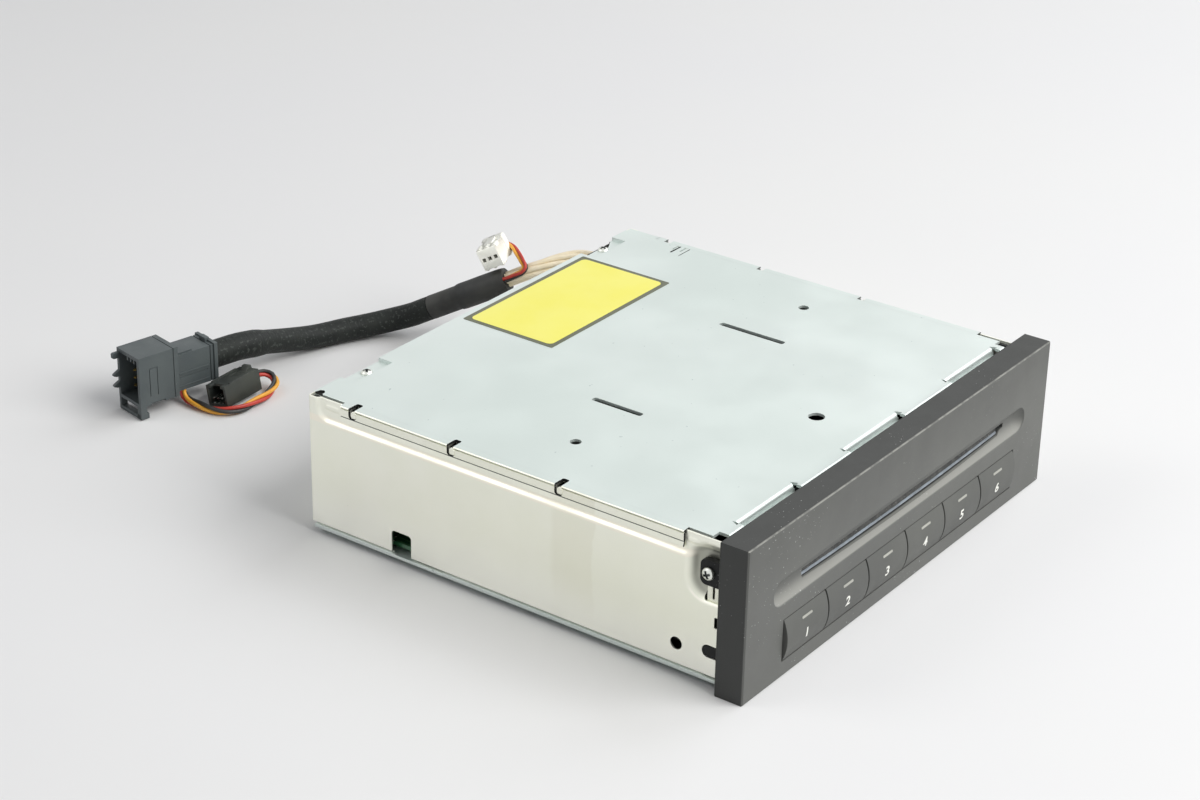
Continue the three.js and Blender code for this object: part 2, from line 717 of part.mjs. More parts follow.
place('bezel_screw_left', bezelScrew(-1), ...steel);
place('bezel_screw_right', bezelScrew(1), ...steel);
place('cover_screw_left', coverScrew(coverScrews[0]), ...steel);
place('cover_screw_right', coverScrew(coverScrews[1]), ...steel);

// Main board, seen through the side window, with its parts
const mainBoardZ = 4.6;
const mainBoardThick = 1.5;
const mainBoardFront = 34;
const mainBoardRearClear = 20;
const mainBoardStep = 14;
const mainBoardClear = 2.2;    // to the side wall
const mainBoardEarFront = 120;
const chipShares = [
  [-0.35, 0.22, 0.23, 0.17], [0.12, 0.31, 0.16, 0.12], [0.41, 0.14, 0.12, 0.14], [-0.58, 0.52, 0.14, 0.07],
  [0.23, 0.64, 0.28, 0.12], [-0.23, 0.77, 0.19, 0.1], [0.58, 0.9, 0.3, 0.07], [0.23, 0.05, 0.19, 0.04],
];
const chipHigh = 2;
const capacitorShares = [[-0.7, 0.22], [-0.7, 0.3], [0.7, 0.39], [0, 0.9], [0.7, 0.64]];
const capacitorRadius = 3;
const capacitorHigh = 3;

const mainBoardRear = caseRear - mainBoardRearClear;
const mainBoardEdge = wallInner - mainBoardClear;
const mainBoardHalf = mainBoardEdge - mainBoardStep;
const mainBoardTop = mainBoardZ + mainBoardThick;

function mainBoard() {
  const plate = extrude(polygon([
    [-mainBoardHalf, mainBoardFront], [mainBoardHalf, mainBoardFront], [mainBoardHalf, mainBoardRear],
    [-mainBoardEdge, mainBoardRear], [-mainBoardEdge, mainBoardEarFront], [-mainBoardHalf, mainBoardEarFront],
  ]), 'z', mainBoardZ, mainBoardTop);
  const seat = mainBoardZ + mainBoardThick / 2;
  const long = mainBoardRear - mainBoardFront;
  const flat = chipShares.map(([xShare, yShare, wShare, dShare]) => {
    const x = xShare * mainBoardHalf;
    const y = mainBoardFront + yShare * long;
    const halfWide = wShare * mainBoardHalf / 2;
    const halfDeep = dShare * long / 2;
    return block(x - halfWide, x + halfWide, y - halfDeep, y + halfDeep, seat, mainBoardTop + chipHigh);
  });
  const round = capacitorShares.map(([xShare, yShare]) => rod('z', capacitorRadius, seat,
    mainBoardTop + capacitorHigh, xShare * mainBoardHalf, mainBoardFront + yShare * long, 10));
  return join(plate, ...flat, ...round);
}

place('main_board', mainBoard(), ...boardGreen);

// Flat ribbon from the key board down to the top of the main board
const ribbonHalf = 6;
const ribbonThick = 0.3;
const ribbonX = 20;
const ribbonHigh = 18;
const ribbonReach = 2;

function ribbon() {
  const back = boardFront + boardThick + gap;
  const low = mainBoardTop + gap;
  const end = mainBoardFront + ribbonReach;
  const outline = polygon([
    [back, ribbonHigh], [back, low], [end, low], [end, low + ribbonThick], [back + ribbonThick, low + ribbonThick],
    [back + ribbonThick, ribbonHigh],
  ]);
  return extrude(outline, 'x', ribbonX - ribbonHalf, ribbonX + ribbonHalf);
}

place('flat_ribbon', ribbon(), ...whitePlastic);

// Gears: trapezoid teeth on a pitch circle, and racks with the same teeth
const gearModule = 0.8;
const toothShare = 0.42;
const rootFlareShare = 0.3;
const tipHeight = 0.8 * gearModule;
const rootDepth = 1.1 * gearModule;
const pressure = 20 * Math.PI / 180;

const gearPitch = Math.PI * gearModule;
const toothHalf = toothShare * gearPitch / 2;
const tipHalf = toothHalf - tipHeight * Math.tan(pressure);
const rootHalf = toothHalf + rootDepth * Math.tan(pressure) * rootFlareShare;

const pitchRadius = (teeth) => teeth * gearModule / 2;

function gear(axis, teeth, bore, from, to, a, b, phase) {
  const radius = pitchRadius(teeth);
  const ends = [[radius - rootDepth, -rootHalf], [radius + tipHeight, -tipHalf], [radius + tipHeight, tipHalf],
    [radius - rootDepth, rootHalf]];
  const points = Array.from({ length: teeth }, (_, i) => phase + i * 2 * Math.PI / teeth).flatMap((middle) => (
    ends.map(([r, half]) => {
      const angle = middle + half / r;
      return [a + r * Math.cos(angle), b + r * Math.sin(angle)];
    })));
  return cut(extrude(polygon(points), axis, from, to), rod(axis, bore, from - over, to + over, a, b, 16));
}

// The phase of a gear that meshes with another one of known phase, seen in the direction theta from it
function meshPhase(teethA, phaseA, theta, teethB) {
  const share = (theta - phaseA) * teethA / (2 * Math.PI);
  return theta + Math.PI - (0.5 - share) * 2 * Math.PI / teethB;
}

// A rack's outline along the first axis: its teeth point up from the pitch line, with a gap at the mark
function rackOutline(from, to, back, pitchLine, mark, up) {
  const first = Math.ceil((from + rootHalf - mark) / gearPitch - 0.5);
  const last = Math.floor((to - rootHalf - mark) / gearPitch - 0.5);
  const points = [[from, back], [from, pitchLine - up * rootDepth]];
  for (let i = first; i <= last; i += 1) {
    const middle = mark + (i + 0.5) * gearPitch;
    points.push([middle - rootHalf, pitchLine - up * rootDepth], [middle - tipHalf, pitchLine + up * tipHeight],
      [middle + tipHalf, pitchLine + up * tipHeight], [middle + rootHalf, pitchLine - up * rootDepth]);
  }
  points.push([to, pitchLine - up * rootDepth], [to, back]);
  return points;
}

// Loading drive: roller, idler and motor pinion on the left bracket of the mechanism
const chassisZ = 10;
const rollerY = 25;
const rollerZ = 24.6;
const rollerEnd = 3.8;
const rollerWaist = 3.2;
const shaftRadius = 1.5;
const shaftPastLeft = 3.4;     // past the brackets
const shaftPastRight = 3;
const gearPast = 2.9;
const gearThick = 2;
const rollerTeeth = 20;
const idlerTeeth = 24;
const pinionTeeth = 10;
const idlerRise = 6;
const bracketLeftClear = 7.6;  // from the side walls
const bracketRightClear = 9.2;
const bracketThick = 0.8;
const bracketHigh = 36;
const bracketFront = 18;
const bracketRear = 54;
const bracketRightRear = 32;
const motorShaft = 0.8;
const motorFlat = 11.4;
const motorWide = 15.5;
const motorRound = 5;
const loadingMotorLong = 24.5;
const rollerMargin = 2;        // past the disc's edge
const rimMargin = 6;           // from the disc's edge to the tray's
const trayClear = 22.2;        // from the trays to the side walls

const chassisTop = chassisZ + sheet;
const trayOuter = wallInner - trayClear;
const discRadius = trayOuter - rimMargin;
const rollerHalf = discRadius + rollerMargin;
const bracketLeft = bracketLeftClear - wallInner;
const bracketRight = wallInner - bracketRightClear;
const shaftLeft = bracketLeft - shaftPastLeft;
const shaftRight = bracketRight + shaftPastRight;
const gearLeft = bracketLeft - gearPast;
const gearRight = gearLeft + gearThick;
const bracketInner = bracketLeft + bracketThick;
const idlerReach = pitchRadius(rollerTeeth) + pitchRadius(idlerTeeth);
const idlerY = rollerY + Math.sqrt(idlerReach ** 2 - idlerRise ** 2);
const idlerZ = rollerZ + idlerRise;
const pinionZ = idlerZ - pitchRadius(idlerTeeth) - pitchRadius(pinionTeeth);
const idlerPhase = meshPhase(rollerTeeth, 0, Math.atan2(idlerRise, idlerY - rollerY), idlerTeeth);
const pinionPhase = meshPhase(idlerTeeth, idlerPhase, -Math.PI / 2, pinionTeeth);

function rollerRubber() {
  const bore = shaftRadius + gap;
  const profile = [[bore, -rollerHalf], [rollerEnd, -rollerHalf], [rollerWaist, 0], [rollerEnd, rollerHalf],
    [bore, rollerHalf], [bore, -rollerHalf]];
  const geometry = new THREE.LatheGeometry(profile.map(([x, y]) => new THREE.Vector2(x, y)), 16);
  geometry.rotateZ(-Math.PI / 2);
  geometry.translate(0, rollerY, rollerZ);
  return solid(geometry);
}

place('roller_shaft', rod('x', shaftRadius, shaftLeft, shaftRight, rollerY, rollerZ, 20), ...steel);
place('roller_rubber', rollerRubber(), ...rubberBlack);
place('roller_gear', gear('x', rollerTeeth, shaftRadius + fit, gearLeft, gearRight, rollerY, rollerZ, 0),
  ...whitePlastic);
place('idler_gear', gear('x', idlerTeeth, shaftRadius + fit, gearLeft, gearRight, idlerY, idlerZ, idlerPhase),
  ...whitePlastic);
place('motor_pinion', gear('x', pinionTeeth, motorShaft + fit, gearLeft, gearRight, idlerY, pinionZ, pinionPhase),
  ...brass);

function loadingMotor() {
  const can = extrude(roundedRect(idlerY - motorWide / 2, idlerY + motorWide / 2, pinionZ - motorFlat / 2,
    pinionZ + motorFlat / 2, motorRound), 'x', bracketInner + gap, bracketInner + gap
    + loadingMotorLong, 4);
  return join(can, rod('x', motorShaft, gearLeft, bracketInner + over, idlerY, pinionZ, 16));
}

place('loading_motor', loadingMotor(), ...steel);

// Disc guide above the roller
const guideZ = 31;
const guideThick = 1.5;
const guideFront = 13;
const guideRear = 34;

place('disc_guide', block(bracketInner + gap, bracketRight - gap, guideFront, guideRear, guideZ, guideZ + guideThick),
  ...darkPlastic);

// Disc store: a stack of trays that rides down posts, lifted by slides with sloping slots
const trayCount = 6;
const trayPitch = 2.3;
const trayThick = 0.8;
const trayZ = 27.7;
const trayWide = 22;
const trayRim = 1;
const trayRimWide = 1.4;
const trayFrom = 40 * Math.PI / 180;
const trayTo = 215 * Math.PI / 180;
const trayArcSteps = 10;
const postRadius = 2;
const postTop = 46;
const leftPostPast = 7;        // beside the trays
const leftPostAhead = 2;
const rearTabLong = 2;
const rearPostShare = 0.1667;
const rearPostInset = 9;       // from the chassis' rear edge
const rightPostShare = 0.8788;
const rightPostClear = 5.5;    // behind the turntable's edge
const pivotY = 44;
const spindleReach = 86.5;
const turntableRadius = 14;
const leftTabGap = 1.3;
const leftTabFront = 68;
const leftTabRear = 112;
const rearTabLeft = -30;
const rearTabRight = 8;
const earRadius = 4.5;
const liftTravel = 11.5;

const slideLeftClear = 3.2;    // from the side wall
const slideRearClear = 9;
const slideThick = 1;
const carrierBeside = 5.7;     // from the slides to the carrier
const carrierBehind = 2.7;
const chassisPast = 2;         // past the rear slide

const trayInner = trayOuter - trayWide;
const slideLeftX = slideLeftClear - wallInner;
const slideRearY = caseRear - slideRearClear;
const carrierLeftX = slideLeftX + carrierBeside;
const carrierRearY = slideRearY - carrierBehind;
const leftTabReach = -carrierLeftX - leftTabGap;
const rearTabReach = carrierRearY - gap;
const chassisRear = slideRearY + chassisPast;
const discY = rearTabReach - rearTabLong - trayOuter;
const spindleY = pivotY + spindleReach;
const posts = [
  [-trayOuter - leftPostPast, discY - leftPostAhead],
  [-rearPostShare * trayOuter, chassisRear - rearPostInset],
  [rightPostShare * trayOuter, spindleY + turntableRadius + rightPostClear],
];

function sector(inner, outer) {
  const arc = (radius, reverse) => Array.from({ length: trayArcSteps + 1 }, (_, i) => {
    const share = (reverse ? trayArcSteps - i : i) / trayArcSteps;
    const angle = trayFrom + (trayTo - trayFrom) * share;
    return [radius * Math.cos(angle), discY + radius * Math.sin(angle)];
  });
  return polygon([...arc(outer, false), ...arc(inner, true)]);
}

// The sector with its two tabs and the ear round the right post
function trayPlate(inner, from, to) {
  const ring = extrude(sector(inner, trayOuter), 'z', from, to);
  const left = block(-leftTabReach, -trayInner - over, leftTabFront, leftTabRear, from, to);
  const rear = block(rearTabLeft, rearTabRight, discY + trayInner + over, rearTabReach, from, to);
  const [earX, earY] = posts[2];
  const near = trayInner * Math.SQRT1_2 + over;
  const side = earRadius * Math.SQRT1_2;
  const arm = extrude(polygon([
    [near + side, discY + near - side], [earX + side, earY - side], [earX - side, earY + side],
    [near - side, discY + near + side],
  ]), 'z', from, to);
  const ear = rod('z', earRadius, from, to, earX, earY, 12);
  const holes = posts.map(([x, y]) => rod('z', postRadius + fit, from - over, to + over, x, y, 12));
  return cut(join(ring, left, rear, arm, ear), ...holes);
}

function tray(low) {
  const top = low + trayThick;
  const rim = extrude(sector(discRadius + 2 * gap, discRadius + 2 * gap + trayRimWide), 'z', top - trayThick / 2,
    top + trayRim);
  return join(trayPlate(trayInner, low, top), rim);
}

Array.from({ length: trayCount }, (_, i) => place(`tray_${i + 1}`, tray(trayZ + i * trayPitch), ...darkPlastic));

// Tray carrier: two combs joined by a top plate, with pins for the slides
const combRib = trayPitch - trayThick - 2 * gap;
const carrierThick = 1;
const carrierTop = 44;
const carrierFront = 60;
const carrierBack = 118;
const combLeftLong = 3.8;
const combRearLong = 1.7;
const pinLeftFront = 68;
const pinLeftRear = 108;
const pinRearLeft = -22;
const pinRearRight = 2;
const pinZ = 40;
const slidePinRadius = 1.5;

const combLeftIn = carrierLeftX + combLeftLong;
const combRearIn = carrierRearY - combRearLong;
const pinLeft = [pinLeftFront, pinLeftRear];
const pinRear = [pinRearLeft, pinRearRight];
const carrierBottom = trayZ - gap - combRib;
const combs = Array.from({ length: trayCount }, (_, i) => carrierBottom + i * trayPitch);

function carrier() {
  const leftWall = block(carrierLeftX, carrierLeftX + carrierThick, carrierFront, carrierBack, carrierBottom, carrierTop);
  const rearWall = block(rearTabLeft, rearTabRight, carrierRearY, carrierRearY + carrierThick, carrierBottom,
    carrierTop);
  const plate = trayPlate(trayInner, carrierTop - carrierThick, carrierTop);
  const toLeft = block(carrierLeftX, -leftTabReach + over, leftTabFront, leftTabRear, carrierTop - carrierThick, carrierTop);
  const toRear = block(rearTabLeft, rearTabRight, rearTabReach - over, carrierRearY + carrierThick,
    carrierTop - carrierThick, carrierTop);
  const leftCombs = combs.map((z) => (
    block(carrierLeftX, combLeftIn, leftTabFront, leftTabRear, z, z + combRib)));
  const rearCombs = combs.map((z) => (
    block(rearTabLeft, rearTabRight, combRearIn, carrierRearY + over / 2, z, z + combRib)));
  const leftPins = pinLeft.map((y) => (
    rod('x', slidePinRadius, slideLeftX - gap, carrierLeftX + over / 2, y, pinZ, 16)));
  const rearPins = pinRear.map((x) => (
    rod('y', slidePinRadius, carrierRearY + over / 2, slideRearY + slideThick + gap, x, pinZ, 16)));
  return join(leftWall, rearWall, plate, toLeft, toRear, ...leftCombs, ...rearCombs, ...leftPins, ...rearPins);
}

place('tray_carrier', carrier(), ...whitePlastic);

// Slides: an upright plate with a slot at 45 degrees for each pin, and a rack at its foot
const slideFoot = 11.3;
const stripTop = 15.5;
const gearFoot = 12.5;
const plateLow = 24;
const plateHigh = 45.5;
const leftPlateFront = 60;
const leftPlateRear = 128;
const leftRackHalf = 14;
const rearPlateLeft = -40;
const rearPlateRight = 26;
const rearRackBeside = 4;      // from the corner gear's axis
const rearRackPast = 14;
const legWide = 8;
const cornerTeeth = 20;
const liftTeeth = 8;
const cornerBeside = 13;       // from the slides
const cornerAhead = 17;

const cornerX = slideLeftX + cornerBeside;
const cornerY = slideRearY - cornerAhead;
const leftRackFront = cornerY - leftRackHalf;
const leftRackRear = cornerY + leftRackHalf;
const rearRackLeft = cornerX - rearRackBeside;
const rearRackRight = cornerX + rearRackPast;
const cornerRadius = pitchRadius(cornerTeeth);
const liftY = cornerY - cornerRadius - pitchRadius(liftTeeth);

function slopingSlot(axis, from, to, start) {
  const reach = slidePinRadius + fit;
  const offset = reach * Math.SQRT1_2;
  const end = [start + liftTravel, pinZ - liftTravel];
  const middle = extrude(polygon([
    [start - offset, pinZ - offset], [end[0] - offset, end[1] - offset], [end[0] + offset, end[1] + offset],
    [start + offset, pinZ + offset],
  ]), axis, from, to);
  return join(middle, rod(axis, reach, from, to, start, pinZ, 16), rod(axis, reach, from, to, ...end, 16));
}

function slideLeft() {
  const outer = slideLeftX + slideThick;
  const plate = block(slideLeftX, outer, leftPlateFront, leftPlateRear, plateLow, plateHigh);
  const strip = block(slideLeftX, outer, leftPlateFront, leftRackRear, slideFoot, stripTop);
  const legs = [leftPlateFront, leftPlateRear - legWide].map((y) => (
    block(slideLeftX, outer, y, y + legWide, slideFoot, plateLow + over)));
  const teeth = rackOutline(leftRackFront, leftRackRear, slideLeftX, cornerX - cornerRadius, cornerY, 1);
  const rack = extrude(polygon(teeth.map(([along, across]) => [across, along])), 'z', gearFoot, stripTop);
  const slots = pinLeft.map((y) => slopingSlot('x', slideLeftX - over, outer + over, y));
  return cut(join(plate, strip, ...legs, rack), ...slots);
}

function slideRear() {
  const outer = slideRearY + slideThick;
  const plate = block(rearPlateLeft, rearPlateRight, slideRearY, outer, plateLow, plateHigh);
  const strip = block(rearRackLeft, rearPlateRight, slideRearY, outer, slideFoot, stripTop);
  const legs = [rearPlateLeft, rearPlateRight - legWide].map((x) => (
    block(x, x + legWide, slideRearY, outer, slideFoot, plateLow + over)));
  const teeth = rackOutline(rearRackLeft, rearRackRight, outer, cornerY + cornerRadius, cornerX, -1);
  const rack = extrude(polygon(teeth), 'z', gearFoot, stripTop);
  const slots = pinRear.map((x) => slopingSlot('y', slideRearY - over, outer + over, x));
  return cut(join(plate, strip, ...legs, rack), ...slots);
}

place('cam_slide_left', slideLeft(), ...zinc);
place('cam_slide_rear', slideRear(), ...zinc);
place('corner_gear', gear('z', cornerTeeth, shaftRadius + fit, gearFoot, stripTop, cornerX, cornerY, 0),
  ...whitePlastic);
const liftPhase = meshPhase(cornerTeeth, 0, -Math.PI / 2, liftTeeth);
place('lift_pinion', gear('z', liftTeeth, motorShaft + fit, gearFoot, stripTop, cornerX, liftY, liftPhase), ...brass);

// Lift motor on a shelf above its pinion
const shelfZ = 16;
const shelfThick = 0.8;
const liftMotorHigh = 20;
const motorNarrow = 12;

function liftMotor() {
  const foot = shelfZ + shelfThick + gap;
  const can = extrude(roundedRect(cornerX - motorNarrow / 2, cornerX + motorNarrow / 2, liftY - motorWide / 2,
    liftY + motorWide / 2, motorRound), 'z', foot, foot + liftMotorHigh, 4);
  return join(can, rod('z', motorShaft, gearFoot, foot + over, cornerX, liftY, 16));
}

place('lift_motor', liftMotor(), ...steel);

// Playback unit, parked along the right side: a swinging base with the turntable, the pickup sled and the clamp
const pivotClear = 16.2;       // from the side wall
const pivotTop = 24;
const pivotRadius = 2;
const bushRadius = 4;
const baseHalf = 11;
const baseFront = 36;
const basePast = 12.5;         // behind the spindle
const baseZ = 15;
const baseThick = 1.2;
const bushLow = 12;
const bushHigh = 22;
const spindleRadius = 1;
const spindleTop = 21;
const spindleMotorRadius = 10;
const spindleMotorLow = 12;
const turntableLow = 17.8;
const turntableTop = 20.3;
const hubRadius = 7;
const hubTop = 22.3;
const rodBeside = 7;
const screwBeside = 4;
const railZ = 18;
const rodRadius = 1;
const leadRadius = 1.2;
const rodFront = 54;
const turntableClear = 1.3;
const sledPark = 0.7;          // from the rail blocks
const sledLong = 14;
const sledLeftWide = 9.4;
const sledRightWide = 6.8;
const sledLow = 16.6;
const sledHigh = 20;
const lensRadius = 3;
const lensHigh = 0.8;
const sledMotorRadius = 4;
const sledMotorFront = 48.6;
const motorTab = 59;
const tabThick = 1;
const railBlock = 3;
const windowSide = 1.5;

const baseTop = baseZ + baseThick;
const pivotX = wallInner - pivotClear;
const baseRear = spindleY + basePast;
const rodX = pivotX - rodBeside;
const screwX = pivotX + screwBeside;
const rodRear = spindleY - turntableRadius - turntableClear;
const sledRear = rodRear - railBlock - sledPark;
const sledFront = sledRear - sledLong;
const sledLeft = pivotX - sledLeftWide;
const sledRight = pivotX + sledRightWide;
const lensY = (sledFront + sledRear) / 2;

// Clamp arm and puck
const armHingeY = 57;
const armZ = 25;
const armThick = 1.2;
const armHalf = 8;
const armPin = 1;
const cheekThick = 1.2;
const cheekHigh = 27;
const cheekHalf = 3;
const puckRadius = 10;
const puckLow = 23.9;
const puckHigh = 24.7;
const puckStem = 1.5;
const puckCap = 2.6;
const puckCapLow = 26.5;
const puckTop = 27.2;

const cheekIn = armHalf + gap;
const armPinZ = armZ + armThick / 2;

function cheek(side) {
  const inner = pivotX + side * cheekIn;
  const outer = inner + side * cheekThick;
  const plate = block(Math.min(inner, outer), Math.max(inner, outer), armHingeY - cheekHalf, armHingeY + cheekHalf,
    baseZ, cheekHigh);
  return cut(plate, rod('x', armPin + fit, Math.min(inner, outer) - over, Math.max(inner, outer) + over, armHingeY,
    armPinZ, 16));
}

function traverseBase() {
  const plate = block(pivotX - baseHalf, pivotX + baseHalf, baseFront, baseRear, baseZ, baseTop);
  const bush = rod('z', bushRadius, bushLow, bushHigh, pivotX, pivotY, 20);
  const motorWindow = block(screwX - sledMotorRadius - gap, screwX + sledMotorRadius + gap, sledMotorFront - gap,
    motorTab, baseZ - over, baseTop + over);
  const opening = block(rodX + rodRadius + windowSide, screwX - leadRadius - windowSide, motorTab + cheekHalf,
    rodRear - railBlock, baseZ - over, baseTop + over);
  const tab = block(screwX - sledMotorRadius, screwX + sledMotorRadius, motorTab, motorTab + tabThick, baseZ,
    railZ + sledMotorRadius);
  const rodBlocks = [rodFront, rodRear - railBlock].map((y) => (
    block(rodX - 2 * rodRadius, rodX + 2 * rodRadius, y, y + railBlock, baseZ, railZ + 2 * rodRadius)));
  const screwBlock = block(screwX - 2 * leadRadius, screwX + 2 * leadRadius, rodRear - railBlock, rodRear,
    baseZ, railZ + rodRadius - gap);
  const whole = join(plate, bush, tab, ...rodBlocks, screwBlock, cheek(-1), cheek(1));
  return cut(
    whole, motorWindow, opening,
    rod('z', pivotRadius + fit, bushLow - over, bushHigh + over, pivotX, pivotY, 20),
    rod('z', spindleRadius + 2 * gap + over, baseZ - over, baseTop + over, pivotX, spindleY, 16),
    rod('y', rodRadius + fit, rodFront - over, rodRear + over, rodX, railZ, 16),
    rod('y', leadRadius + fit, motorTab - over, rodRear + over, screwX, railZ, 16),
  );
}

function spindleMotor() {
  const can = rod('z', spindleMotorRadius, spindleMotorLow, baseZ - gap, pivotX, spindleY, 24);
  const neck = rod('z', 2 * spindleRadius, baseZ - over, turntableLow - gap, pivotX, spindleY, 16);
  return join(can, neck, rod('z', spindleRadius, baseZ, spindleTop, pivotX, spindleY, 16));
}

function turntable() {
  const disc = rod('z', turntableRadius, turntableLow, turntableTop, pivotX, spindleY, 32);
  const hub = rod('z', hubRadius, turntableTop - over, hubTop, pivotX, spindleY, 24);
  return cut(join(disc, hub), rod('z', spindleRadius + fit, turntableLow - over, hubTop + over, pivotX, spindleY));
}

function sled() {
  const body = block(sledLeft, sledRight, sledFront, sledRear, sledLow, sledHigh);
  const lens = rod('z', lensRadius, sledHigh - over, sledHigh + lensHigh, pivotX - over, lensY, 16);
  return cut(
    join(body, lens),
    rod('y', rodRadius + fit, sledFront - over, sledRear + over, rodX, railZ, 16),
    rod('y', leadRadius + fit, sledFront - over, sledRear + over, screwX, railZ, 16),
  );
}

function clampArm() {
  const plate = block(pivotX - armHalf, pivotX + armHalf, armHingeY - 2 * armPin, spindleY + armHalf, armZ,
    armZ + armThick);
  const pin = rod('x', armPin, pivotX - cheekIn - cheekThick, pivotX + cheekIn + cheekThick, armHingeY, armPinZ);
  return cut(join(plate, pin), rod('z', puckStem + fit, armZ - over, armZ + armThick + over, pivotX, spindleY));
}

function clampPuck() {
  return join(
    rod('z', puckRadius, puckLow, puckHigh, pivotX, spindleY, 24),
    rod('z', puckStem, puckHigh - over / 2, puckCapLow + over / 2, pivotX, spindleY),
    rod('z', puckCap, puckCapLow, puckTop, pivotX, spindleY),
  );
}

place('traverse_base', traverseBase(), ...zinc);
place('spindle_motor', spindleMotor(), ...steel);
place('turntable', turntable(), ...darkPlastic);
place('guide_rod', rod('y', rodRadius, rodFront + gap, rodRear - gap, rodX, railZ, 16), ...steel);
place('pickup_sled', sled(), ...darkPlastic);
place('lead_screw', rod('y', leadRadius, motorTab - gap, rodRear - gap, screwX, railZ, 16), ...steel);
place('sled_motor', rod('y', sledMotorRadius, sledMotorFront, motorTab - 2 * gap, screwX, railZ, 20), ...steel);
place('clamp_arm', clampArm(), ...zinc);
place('clamp_puck', clampPuck(), ...darkPlastic);

// Mechanism chassis: the plate that floats on dampers, with brackets, posts and pins
const chassisClear = 2.2;      // to the side walls
const chassisFront = 16;
const openingHalf = 46;
const openingFront = 60;
const openingRear = 135;
const railThick = 0.9;
const railHigh = 20;
const shelfHalf = 7;
const damperRadius = 4;
const damperInset = 6;
const damperFront = 23;
const damperRearInset = 5;
const damperNames = ['front_left', 'front_right', 'rear_right'];

const chassisHalf = wallInner - chassisClear;
const damperX = chassisHalf - damperInset;
const damperRear = chassisRear - damperRearInset;

function chassis() {
  const plate = cut(
    block(-chassisHalf, chassisHalf, chassisFront, chassisRear, chassisZ, chassisTop),
    block(-openingHalf, openingHalf, openingFront, openingRear, chassisZ - over, chassisTop + over),
  );
  const left = block(bracketLeft, bracketInner, bracketFront, bracketRear, chassisZ, bracketHigh);
  const right = block(bracketRight, bracketRight + bracketThick, bracketFront, bracketRightRear, chassisZ,
    bracketHigh);
  const pins = [
    ...posts.map(([x, y]) => rod('z', postRadius, chassisZ, postTop, x, y, 12)),
    rod('z', pivotRadius, chassisZ, pivotTop, pivotX, pivotY, 20),
    rod('z', shaftRadius, chassisZ, stripTop + gap / 3, cornerX, cornerY, 16),
    rod('x', shaftRadius, gearLeft - gap, bracketInner, idlerY, idlerZ, 16),
  ];
  const rail = block(slideLeftX - gap - railThick, slideLeftX - gap, leftPlateFront, leftPlateRear, chassisZ, railHigh);
  const shelf = cut(
    block(cornerX - shelfHalf, cornerX + shelfHalf, liftY - motorWide / 2 - sheet, liftY + over, shelfZ,
      shelfZ + shelfThick),
    rod('z', motorShaft + gap, shelfZ - over, shelfZ + over, cornerX, liftY, 12),
  );
  const shelfLeg = block(cornerX - shelfHalf, cornerX + shelfHalf, liftY - motorWide / 2 - sheet,
    liftY - motorWide / 2, chassisZ, shelfZ + shelfThick);
  return cut(
    join(plate, left, right, rail, shelf, shelfLeg, ...pins),
    rod('x', shaftRadius + fit, bracketLeft - over, bracketInner + over, rollerY, rollerZ, 20),
    rod('x', shaftRadius + fit, bracketRight - over, bracketRight + bracketThick + over, rollerY, rollerZ, 20),
    rod('x', motorShaft + gap, bracketLeft - over, bracketInner + over, idlerY, pinionZ, 12),
  );
}

place('mech_chassis', chassis(), ...zinc);
const dampers = [[-damperX, damperFront], [damperX, damperFront], [damperX, damperRear]];
dampers.forEach(([x, y], i) => place(`damper_${damperNames[i]}`,
  rod('z', damperRadius, bottomTop + gap, chassisZ - gap, x, y, 16), ...rubberBlack));

// Harness. A lead or sleeve is an even tube along a curve through its points.
const tubeSides = 10;
const leadSides = 8;
const glandLip = 2;
const glandLipRadius = 7.5;
const bundleRadius = 3;
const collarRadius = 5.7;
const sleeveRadius = 4.5;
const sleeveEndRadius = 6;
const trioRadius = 1.6;      // three leads twisted together
const thinTrioRadius = 1.2;
const stepDiameters = 2;

const bundlePath = [
  [80, 174.3, 38], [80, 177.6, 38], [80, 181, 38], [77.9, 187.1, 37.7], [73, 192.1, 36.6], [67.5, 196.9, 34.7],
  [63.5, 202, 32.1], [62.3, 204.7, 30.6], [61.1, 207.26, 29.14],
];
const collarPath = [
  [61, 207.5, 29], [59, 212, 26.5], [56.9, 216.6, 24], [55.5, 221.2, 21.4], [54.2, 226, 18.8],
  [52.6, 230.75, 16.15], [51, 235.5, 13.5],
];
const sleevePath = [
  [50.9, 235.77, 13.35], [49.62, 239.53, 11.25], [48.3, 243.3, 9.15], [44.6, 249.2, 6.9], [38.2, 254.6, 5.5],
  [29, 260, 5], [17, 264.6, 5.2], [5, 267, 7.5], [-9, 268.1, 11.2],
];
const sleeveEndPath = [[-8, 268, 11], [-19.55, 269.65, 12.9], [-25.4, 270.87, 13], [-31.3, 272.1, 13]];

function tube(points, radius, sides = tubeSides) {
  const path = new THREE.CatmullRomCurve3(points.map((point) => new THREE.Vector3(...point)), false, 'centripetal');
  const steps = Math.max(points.length, Math.ceil(path.getLength() / (2 * radius * stepDiameters)));
  const round = new THREE.Shape(Array.from({ length: sides }, (_, i) => {
    const angle = 2 * Math.PI * i / sides;
    return new THREE.Vector2(radius * Math.cos(angle), radius * Math.sin(angle));
  }));
  return solid(new THREE.ExtrudeGeometry(round, { steps, bevelEnabled: false, extrudePath: path }));
}

function gland() {
  const neck = glandHole - gap;
  return join(
    rod('y', glandLipRadius, caseRear + gap, caseRear + glandLip, glandX, glandZ, 18),
    rod('y', neck, caseRear - sheet - 2 * over, caseRear + glandLip - over / 2, glandX, glandZ, 18),
    rod('y', glandLipRadius, caseRear - sheet - 2 * over, caseRear - sheet - gap, glandX, glandZ, 18),
  );
}

